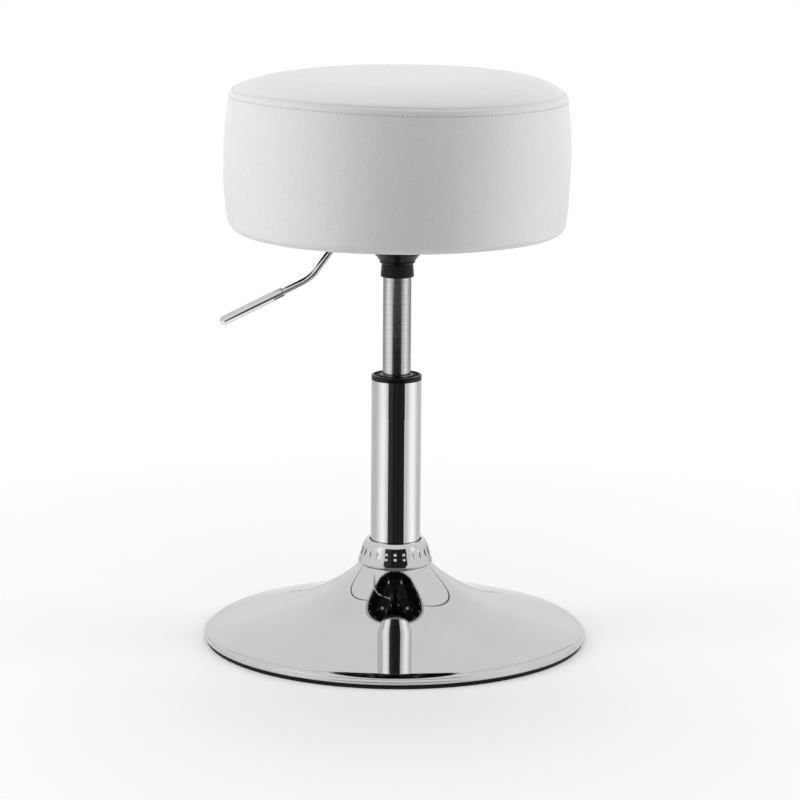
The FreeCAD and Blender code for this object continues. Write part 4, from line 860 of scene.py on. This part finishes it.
def run_along(rows_r, rows_z):
    """Distance of each row from the first one, along the cover; the mean of a row where it varies."""
    steps = np.hypot(np.diff(rows_r, axis=0), np.diff(rows_z, axis=0))
    return np.concatenate([[0.0], np.cumsum(steps.reshape(len(steps), -1).mean(1))])


def panel_curve(distances):
    """(radius, height) of the top panel at distances along it from the seam."""
    radius = np.linspace(SEAM_R, 0.0, FINE_MARKS)
    run = run_along(radius, crown(radius))
    return np.interp(distances, run, radius), np.interp(distances, run, crown(radius))


def band_curve(angles, falls, bends, tucks):
    """(radius, height) rows of the band for each angle: barrel, bottom corner and pulled-under edge."""
    corner = CORNER_R + CORNER_SWING * np.cos(angles)
    corner_top = FOOT_Z + corner * (1 - math.sin(CORNER_LEAN))
    axis_r = FOOT_R - corner * math.cos(CORNER_LEAN)
    falls, tucks = np.asarray(falls)[:, None], np.asarray(tucks)[:, None]
    bends = (CORNER_LEAN + np.asarray(bends) * (math.pi / 2 - CORNER_LEAN))[:, None]
    barrel_r = SEAM_R + (FOOT_R - SEAM_R) * falls + BARREL * 4 * falls * (1 - falls) + 0 * corner
    barrel_z = SEAM_Z + (corner_top - SEAM_Z) * falls
    bend_r, bend_z = axis_r + corner * np.cos(bends), FOOT_Z + corner - corner * np.sin(bends)
    tuck_r = axis_r + (UNDER_R - axis_r) * tucks
    return np.vstack([barrel_r, bend_r, tuck_r]), np.vstack([barrel_z, bend_z, 0 * tuck_r + FOOT_Z])


def way_out(rows_r, rows_z, sign=1):
    """The way out of the cover at each point of its rows, in radius and height."""
    tangent_r, tangent_z = np.gradient(rows_r, axis=0), np.gradient(rows_z, axis=0)
    length = np.hypot(tangent_r, tangent_z)
    return -sign * tangent_z / length, sign * tangent_r / length


print("crown at 100, 140, 160 mm:", [round(float(crown(r * MM)), 4) for r in (100, 140, 160)])

# %% A cover swells under pressure
SIM_COLUMNS, SIM_FRAMES, SIM_PRESSURE = 62, 20, 4.0


def swell_cloth(points, faces, held):
    """Runs Cloth with pressure inside and the held points sewn down, and gives the points afterwards."""
    blank = add_piece("cover_blank", points, faces)
    blank.vertex_groups.new(name="sewn").add(held, 1.0, "REPLACE")
    cloth = blank.modifiers.new("padding", "CLOTH").settings
    cloth.quality, cloth.mass, cloth.vertex_group_mass = 6, 0.3, "sewn"
    cloth.tension_stiffness = cloth.compression_stiffness = 20.0
    cloth.bending_stiffness = 2.0
    cloth.use_pressure, cloth.uniform_pressure_force = True, SIM_PRESSURE
    cloth.effector_weights.gravity = 0.0
    for step in range(1, SIM_FRAMES + 1):
        bpy.context.scene.frame_set(step)
    swollen = blank.evaluated_get(bpy.context.evaluated_depsgraph_get()).data
    after = np.zeros(len(points) * 3)
    swollen.vertices.foreach_get("co", after)
    bpy.context.scene.frame_set(1)
    bpy.data.objects.remove(blank)
    return after.reshape(-1, 3)


print("cloth helper ready")

# %% Cloth fills out the cover
SIM_PANEL_ROWS, SIM_BAND_ROWS, PANEL_HOLE = 15, 16, 16.0 * MM
SIM_BENDS, SIM_TUCKS = (0.34, 0.67, 1.0), (0.3, 0.7)
SIM_SLACK, SIM_UNEVEN, SIM_CAP, UNEVEN_KEPT = 3.0 * MM, 1.6 * MM, 6.0 * MM, 0.4 * MM
PULL_ROUND, PULL_DOWN = 3.0, 0.35


def simulate_cover():
    """Swells a slack cover under pressure and gives what each row of panel and band has round the seat,
    apart from the row's own mean: the unevenness of hand-pulled leather."""
    angles = np.arange(SIM_COLUMNS) * 2 * math.pi / SIM_COLUMNS
    panel_runs = np.linspace(0.0, SEAM_R - PANEL_HOLE, SIM_PANEL_ROWS)
    falls = np.linspace(0.0, 1.0, SIM_BAND_ROWS)
    band_r, band_z = band_curve(angles, falls[1:], SIM_BENDS, SIM_TUCKS)
    panel_r, panel_z = panel_curve(panel_runs)
    rows_r = np.vstack([np.repeat(panel_r[::-1, None], SIM_COLUMNS, 1), band_r])
    rows_z = np.vstack([np.repeat(panel_z[::-1, None], SIM_COLUMNS, 1), band_z])
    rows, seam_row = len(rows_r), SIM_PANEL_ROWS - 1
    loose = np.zeros(rows)
    loose[:seam_row] = np.sin(np.linspace(math.pi / 2, 0, seam_row, endpoint=False))
    loose[seam_row:seam_row + SIM_BAND_ROWS] = np.sin(falls * math.pi)
    round_seat = [(PULL_ROUND * math.cos(angle), PULL_ROUND * math.sin(angle)) for angle in angles]
    pull = np.array([[noise.noise(Vector((*spot, PULL_DOWN * row))) for spot in round_seat]
                     for row in range(rows)])
    slack = loose[:, None] * (SIM_SLACK + SIM_UNEVEN * pull)
    out_r, out_z = way_out(rows_r, rows_z)
    start_r, start_z = rows_r - out_r * slack, rows_z - out_z * slack
    points = np.stack([start_r * np.cos(angles), start_r * np.sin(angles), start_z], -1).reshape(-1, 3)
    centre = len(points)
    points = np.vstack([points, [[0.0, 0.0, start_z[0].mean()]]])
    faces = ring_faces(rows, SIM_COLUMNS)
    faces += [(centre, column, (column + 1) % SIM_COLUMNS) for column in range(SIM_COLUMNS)]
    sewn = [row for row in range(rows) if row == seam_row or row >= seam_row + SIM_BAND_ROWS]
    held = [row * SIM_COLUMNS + column for row in sewn for column in range(SIM_COLUMNS)]
    after = swell_cloth(points, faces, held)[:centre].reshape(rows, SIM_COLUMNS, 3)
    moved = (np.hypot(after[..., 0], after[..., 1]) - start_r) * out_r + (after[..., 2] - start_z) * out_z
    uneven = np.clip(moved, -SIM_CAP, SIM_CAP) - slack
    uneven -= uneven.mean(1, keepdims=True)
    uneven *= UNEVEN_KEPT / np.abs(uneven).max()
    print("cloth moved", [round(float(move / MM), 2) for move in (moved.min(), moved.max())], "mm")
    band_runs = run_along(rows_r[seam_row:], rows_z[seam_row:])
    return (panel_runs, uneven[seam_row::-1]), (band_runs, uneven[seam_row:])


panel_swell, band_swell = simulate_cover()


def swell_at(swell, distances):
    """The cloth's unevenness at finer rows and columns, joined smoothly round the seat."""
    runs, table = swell
    spread = np.fft.rfft(table, axis=1) * COLUMNS / SIM_COLUMNS
    round_seat = np.fft.irfft(spread, COLUMNS, axis=1)
    return np.stack([np.interp(distances, runs, column) for column in round_seat.T], -1)


print("swell ready")

# %% Seam, stitch rows and folds
ANGLES = np.arange(COLUMNS) * 2 * math.pi / COLUMNS
AT_HOLE = (np.arange(COLUMNS) % 2 == 0).astype(float)
SEAM_LEAN, SEAT_SHIFT = math.tan(math.radians(0.55)), -1.3 * MM
SEAM_RISE, RISE_AT, RISE_WIDTH = 2.2 * MM, math.radians(232.0), math.radians(35.0)
SEAM_SHIFT, SEAM_SPREAD = 1.5 * MM, 1.2 * MM
PANEL_DROP, PANEL_TILT, PANEL_EDGE = -0.9 * MM, 0.009, 12.0 * MM
DITCH, DITCH_WIDTH = 0.2 * MM, 0.7 * MM
FOLD_AT, FOLD_WIDTH, BAND_FOLD, PANEL_FOLD = 3.2 * MM, 2.2 * MM, 0.12 * MM, -0.55 * MM
BAND_PRESS, PANEL_PRESS, HOLE_PRESS, PRESS_WIDTH = 0.16 * MM, 0.05 * MM, 1.4, 0.9 * MM
WAVE, WAVE_SIZE, CALM_WIDTH = 0.22 * MM, 24.0, 12.0 * MM
FIRST_STEP, STEP_GROWTH, WIDEST_STEP = 0.45 * MM, 1.06, 1.2 * MM


def bump(distance, centre, width):
    return np.exp(-((distance - centre) / width) ** 2)


def panel_sink(x):
    """The top panel sits a little lower on the left than on the right."""
    return PANEL_DROP + PANEL_TILT * x


def sew(rows_r, rows_z, distances, out_sign, stitch_row, fold, press, lean_fade, swell):
    """Points and outward normals of a cover piece, with the seam's ditch, the stitch row and soft waves."""
    out_r, out_z = way_out(rows_r, rows_z, out_sign)
    away = distances[:, None]
    relief = fold * bump(away, FOLD_AT, FOLD_WIDTH) - DITCH * bump(away, 0.0, DITCH_WIDTH)
    relief = relief - press * (1 + HOLE_PRESS * AT_HOLE) * bump(away, stitch_row, PRESS_WIDTH)
    waves = np.array([[noise.noise(Vector((r * math.cos(a), r * math.sin(a), z)) * WAVE_SIZE)
                       for r, z, a in zip(row_r, row_z, ANGLES)] for row_r, row_z in zip(rows_r, rows_z)])
    calm = 1 - bump(away, 0.0, CALM_WIDTH)
    relief = relief + waves * WAVE * calm + swell * calm
    moved_r, moved_z = rows_r + out_r * relief, rows_z + out_z * relief
    near_seam = bump(away, 0.0, lean_fade)
    moved_r = moved_r + SEAM_SPREAD * near_seam
    rise = SEAM_RISE * bump(ANGLES, RISE_AT, RISE_WIDTH) - moved_r * np.cos(ANGLES) * SEAM_LEAN
    x = moved_r * np.cos(ANGLES) + SEAT_SHIFT + SEAM_SHIFT * near_seam
    points = np.stack([x, moved_r * np.sin(ANGLES), moved_z + rise * near_seam], -1)
    normals = np.stack([out_r * np.cos(ANGLES), out_r * np.sin(ANGLES), out_z], -1)
    return points, normals


def graded(length, stitch_row):
    """Distances from the seam to length, with steps that grow and one mark on the stitch row."""
    marks, step = [0.0], FIRST_STEP
    while marks[-1] + step < length:
        marks.append(marks[-1] + step)
        step = min(step * STEP_GROWTH, WIDEST_STEP)
    return np.sort(marks + [length, stitch_row])


def ring_uv(distances, rows):
    """(stitches along the seam, distance from the seam) for the corners of ring_faces."""
    corners = []
    for row in range(rows - 1):
        for column in range(COLUMNS):
            left, right = column / 2, (column + 1) / 2
            corners += [(left, distances[row]), (left, distances[row + 1]),
                        (right, distances[row + 1]), (right, distances[row])]
    return corners


print("sewing helpers ready")

# %% Side band
BAND_EDGE, BAND_LEAN_FADE = 14.0 * MM, 60.0 * MM
BAND_FALL = SEAM_Z - FOOT_Z - CORNER_R
near = graded(BAND_EDGE, STITCH_ROW_BAND)
falls = np.concatenate([near / BAND_FALL, np.linspace(BAND_EDGE / BAND_FALL, 1.0, 26)[1:]])
band_r, band_z = band_curve(ANGLES, falls, np.linspace(0, 1, 14)[1:], np.linspace(0, 1, 8)[1:])
band_runs = run_along(band_r, band_z)
band_points, band_normals = sew(band_r, band_z, band_runs, 1, STITCH_ROW_BAND, BAND_FOLD, BAND_PRESS,
                                BAND_LEAN_FADE, swell_at(band_swell, band_runs))
seat_band = add_piece("seat_cover_band", band_points.reshape(-1, 3), ring_faces(len(band_r), COLUMNS),
                      ring_uv(band_runs, len(band_r)))
seat_band.data.materials.append(finishes["white_leather"])
print("band", len(band_r), "rows of", COLUMNS)

# %% Top panel
PANEL_CORE, PANEL_RIM, PANEL_LEAN_FADE = 110.0 * MM, 12.0 * MM, 35.0 * MM
SIDE = COLUMNS // 4


def disc_grid(radius):
    """A square net laid into a disc, with its rim at the seat's columns, so no point is pinched."""
    net = []
    for row in range(SIDE + 1):
        for column in range(SIDE + 1):
            x, y = 2 * column / SIDE - 1, 2 * row / SIDE - 1
            size = max(abs(x), abs(y))
            if size == 0:
                net.append((0.0, 0.0))
                continue
            turn = math.pi / 4 * (y / x if abs(x) >= abs(y) else 2 - x / y)
            turn += 0 if (x if abs(x) >= abs(y) else y) > 0 else math.pi
            net.append((radius * size * math.cos(turn), radius * size * math.sin(turn)))
    return np.array(net)


runs_in = np.linspace(0, SEAM_R, FINE_MARKS)
core_run = float(np.interp(-PANEL_CORE, -panel_curve(runs_in)[0], runs_in))
panel_near = graded(PANEL_RIM, STITCH_ROW_TOP)
panel_runs = np.concatenate([panel_near, np.linspace(PANEL_RIM, core_run, 13)[1:]])
panel_r, panel_z = (np.repeat(row[:, None], COLUMNS, 1) for row in panel_curve(panel_runs))
panel_points, panel_normals = sew(panel_r, panel_z, panel_runs, -1, STITCH_ROW_TOP, PANEL_FOLD, PANEL_PRESS,
                                  PANEL_LEAN_FADE, swell_at(panel_swell, panel_runs))
panel_points[..., 2] += panel_sink(panel_points[..., 0]) * (1 - bump(panel_runs, 0.0, PANEL_EDGE))[:, None]
print("panel", len(panel_runs), "rows of", COLUMNS)

# %% Middle of the top panel
core = disc_grid(PANEL_CORE)
core_r = np.hypot(core[:, 0], core[:, 1])
rim = panel_points[-1]
rim_lift = rim[:, 2] - float(crown(PANEL_CORE)) - panel_sink(rim[:, 0])
share = np.clip(core_r / PANEL_CORE, 0, 1) ** 2
turns = (np.degrees(np.arctan2(core[:, 1], core[:, 0])) % 360) * COLUMNS / 360
core_waves = np.array([noise.noise(Vector((x, y, crown(r))) * WAVE_SIZE)
                       for (x, y), r in zip(core, core_r)])
core_lift = np.interp(turns, np.arange(COLUMNS + 1), np.append(rim_lift, rim_lift[0])) * share
core_z = crown(core_r) + panel_sink(core[:, 0]) + core_lift + core_waves * WAVE * (1 - share)
core_points = np.column_stack([core[:, 0] + SEAT_SHIFT, core[:, 1], core_z])
on_rim = np.isclose(core_r, PANEL_CORE)
rim_column = np.round(turns).astype(int) % COLUMNS
first_core = len(panel_runs) * COLUMNS
number = np.where(on_rim, first_core - COLUMNS + rim_column, first_core + np.cumsum(~on_rim) - 1)
net_faces = []
for row in range(SIDE):
    for column in range(SIDE):
        low, high = row * (SIDE + 1) + column, (row + 1) * (SIDE + 1) + column
        net_faces.append([number[i] for i in (low, low + 1, high + 1, high)])
rings = [face[::-1] for face in ring_faces(len(panel_runs), COLUMNS)]
ring_corners = np.array(ring_uv(panel_runs, len(panel_runs))).reshape(-1, 4, 2)[:, ::-1].reshape(-1, 2)
net_corners = np.tile([[0.5, core_run]], (4 * len(net_faces), 1))
seat_top = add_piece("seat_cover_top", np.vstack([panel_points.reshape(-1, 3), core_points[~on_rim]]),
                     rings + net_faces, np.vstack([ring_corners, net_corners]))
seat_top.data.materials.append(top_leather)
print("top panel", len(seat_top.data.vertices), "points")

# %% Leather has a thickness
LEATHER = 1.0 * MM
for piece in (seat_band, seat_top):
    wall = piece.modifiers.new("thickness", "SOLIDIFY")
    wall.thickness, wall.offset = LEATHER, -1.0
    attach(piece, "seat")
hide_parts("cover_band")
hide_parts("cover_top")
print("leather", LEATHER / MM, "mm")

# %% [markdown]
# ## Stitches
# Two rows of white thread run beside the seam, one through the band and one through the panel, 248 stitches
# round. A texture could draw them, but they stand up from the leather and catch light, so each stitch is a
# short bent piece of thread that dives into its needle holes.

# %% Thread
THREAD_R, THREAD_SIDES = 0.27 * MM, 6
SUNK, RAISED, CREST, BY_THE_HOLE = -0.2 * MM, 0.16 * MM, 0.24 * MM, 0.8


def stitch_row(name, points, normals):
    """One row of stitches along a row of cover points, from each even column to the next."""
    hole, next_hole = points[0::2], np.roll(points[0::2], -1, 0)
    middle, out = points[1::2], normals[1::2]
    rise, fall = (BY_THE_HOLE * end + (1 - BY_THE_HOLE) * middle for end in (hole, next_hole))
    path = [hole + out * SUNK, rise + out * RAISED, middle + out * CREST, fall + out * RAISED,
            next_hole + out * SUNK]
    along = next_hole - hole
    along /= np.linalg.norm(along, axis=1, keepdims=True)
    across = np.cross(along, out)
    vertices, faces = [], []
    for stitch in range(STITCHES):
        first = len(vertices)
        for spot in path:
            for side in range(THREAD_SIDES):
                turn = 2 * math.pi * side / THREAD_SIDES
                away = math.cos(turn) * across[stitch] + math.sin(turn) * out[stitch]
                vertices.append(spot[stitch] + THREAD_R * away)
        faces += closed_faces(len(path), THREAD_SIDES, first)
    row = add_piece(name, vertices, faces)
    row.data.materials.append(finishes["thread"])
    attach(row, "seat")
    return row


band_at = int(np.argmin(np.abs(near - STITCH_ROW_BAND)))
panel_at = int(np.argmin(np.abs(panel_runs - STITCH_ROW_TOP)))
stitch_row("stitches_band", band_points[band_at], band_normals[band_at])
stitch_row("stitches_top", panel_points[panel_at], panel_normals[panel_at])
print("stitches", 2 * STITCHES)

# %% [markdown]
# ## Foam core
# Inside the leather is a drum of cut foam that overhangs the board by a finger's width. Nobody sees it
# until the cover is opened. It could be left as a plain drum, but it is what the leather rests on, so it is
# turned from the same curves, a little smaller, with the slightly wavy skin of foam cut by a hot wire.

# %% Foam core
FOAM_GAP, FOAM_WAVE, FOAM_WAVE_SIZE, FOAM_COLUMNS = 3.8 * MM, 0.25 * MM, 60.0, 124
FOAM_TOP_START, FOAM_MIDDLE = 0.99, 1.0 * MM
board_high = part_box("seat_board")[1]
BOARD_CLEAR = 0.4 * MM
foam_angles = np.arange(FOAM_COLUMNS) * 2 * math.pi / FOAM_COLUMNS
skirt_r, skirt_z = band_curve(np.array([math.pi / 2]), np.linspace(0, 1, 24), [], [])
dome_r, dome_z = panel_curve(np.linspace(SEAM_R * FOAM_TOP_START, FOAM_GAP, 28))
inside_r, inside_z = board_high.x + BOARD_CLEAR, board_high.z + BOARD_CLEAR
foam_r = np.concatenate([dome_r, skirt_r[:, 0] - FOAM_GAP, [inside_r, inside_r, FOAM_MIDDLE]])
foam_z = np.concatenate([dome_z, skirt_z[:, 0], [skirt_z[-1, 0]]]) - FOAM_GAP
foam_z = np.append(foam_z, [inside_z, inside_z])
foam_points = []
for r, z in zip(foam_r, foam_z):
    for angle in foam_angles:
        spot = Vector((r * math.cos(angle), r * math.sin(angle), z))
        foam_points.append(spot - spot.normalized() * FOAM_WAVE * (1 + noise.noise(spot * FOAM_WAVE_SIZE)))
seat_core = add_piece("seat_foam_core", foam_points, closed_faces(len(foam_r), FOAM_COLUMNS))
seat_core.data.materials.append(finishes["foam"])
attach(seat_core, "seat")
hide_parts("seat_foam")
print("foam core", len(foam_points), "points")

# %% [markdown]
# ## Dust cloth
# A black non-woven cloth hides the raw edge of the leather under the seat. It is cut round, with a square
# window for the steel plate, pulled flat and stapled every few centimetres. Cloth could be simulated here
# too, but it lies nearly flat and only sags a little between its staples, so rows of points dip there.

# %% Dust cloth
dust_low, dust_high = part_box("dust_cover")
plate_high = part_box("seat_plate")[1]
CLOTH_R, CLOTH_THICK = dust_high.x, 0.4 * MM
WINDOW_LAP = 0.6 * MM
CLOTH_COLUMNS, CLOTH_ROWS, STAPLES, STAPLE_R = 288, 22, 24, 139.0 * MM
SAG, CREASE, CREASE_ROUND, CREASE_OUT = 0.9 * MM, 0.25 * MM, 9.0, 3.0
CLOTH_LIFT, PLATE_EASE, EDGE_PULL, EDGE_SHARPNESS = 0.2 * MM, 1.6, 0.6 * MM, 8
window = plate_high.x - WINDOW_LAP
cloth_angles = np.arange(CLOTH_COLUMNS) * 2 * math.pi / CLOTH_COLUMNS
window_r = window / np.maximum(np.abs(np.cos(cloth_angles)), np.abs(np.sin(cloth_angles)))
cloth_points = []
for row in range(CLOTH_ROWS):
    share = row / (CLOTH_ROWS - 1)
    for angle, start in zip(cloth_angles, window_r):
        r = start + (CLOTH_R - start) * share
        tight = math.cos(angle * STAPLES / 2) ** 2
        ease = min(1.0, PLATE_EASE * share) ** 2
        level = plate_high.z + CLOTH_LIFT + (dust_low.z + CLOTH_LIFT - plate_high.z) * ease
        dip = SAG * math.sin(math.pi * share) * (0.5 + 0.5 * (1 - tight) * share)
        way = Vector((math.cos(angle), math.sin(angle), 0.0))
        crease = CREASE * share * noise.noise(way * CREASE_ROUND + Vector((0.0, 0.0, CREASE_OUT * share)))
        reach = r - EDGE_PULL * (1 - tight) * share ** EDGE_SHARPNESS
        cloth_points.append((reach * way.x, reach * way.y, level - dip + crease))
dust_cloth = add_piece("dust_cloth", cloth_points, ring_faces(CLOTH_ROWS, CLOTH_COLUMNS))
thick = dust_cloth.modifiers.new("thickness", "SOLIDIFY")
thick.thickness, thick.offset = CLOTH_THICK, 0.0
dust_cloth.data.materials.append(finishes["black_cloth"])
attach(dust_cloth, "seat")
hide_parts("dust_cover")

# %% Staples
CROWN_HALF, LEG, STAPLE_BEND, BEND_SHARE, STAPLE_DROP = 5.0 * MM, 4.0 * MM, 0.8 * MM, 0.3, 0.35 * MM
WIRE, WIRE_CORNERS = 0.5 * MM, ((-1.2, -0.6), (1.2, -0.6), (1.2, 0.6), (-1.2, 0.6))


def staple_path(angle):
    """A staple's wire: up, round a tight corner, along the cloth's rim, round, and up again."""
    out = Vector((math.cos(angle), math.sin(angle), 0.0))
    along = Vector((-math.sin(angle), math.cos(angle), 0.0))
    foot = out * STAPLE_R + Vector((0.0, 0.0, dust_low.z - STAPLE_DROP))
    corner = BEND_SHARE * STAPLE_BEND
    side = [(CROWN_HALF, LEG), (CROWN_HALF, STAPLE_BEND), (CROWN_HALF - corner, corner),
            (CROWN_HALF - STAPLE_BEND, 0.0)]
    turns = [(-across, up) for across, up in side] + side[::-1]
    return [foot + along * across + Vector((0.0, 0.0, up)) for across, up in turns], out


staple_points, staple_faces = [], []
for staple in range(STAPLES):
    path, out = staple_path(2 * math.pi * staple / STAPLES)
    first = len(staple_points)
    for place_at, (before, after) in enumerate(zip([path[0]] + path[:-1], path[1:] + [path[-1]])):
        along = (after - before).normalized()
        over = out.cross(along)
        for across, up in WIRE_CORNERS:
            staple_points.append(path[place_at] + out * across * WIRE + over * up * WIRE)
    staple_faces += closed_faces(len(path), len(WIRE_CORNERS), first)
staples = add_piece("dust_cloth_staples", staple_points, staple_faces)
staples.data.materials.append(finishes["zinc_steel"])
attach(staples, "seat")
print("staples", STAPLES)
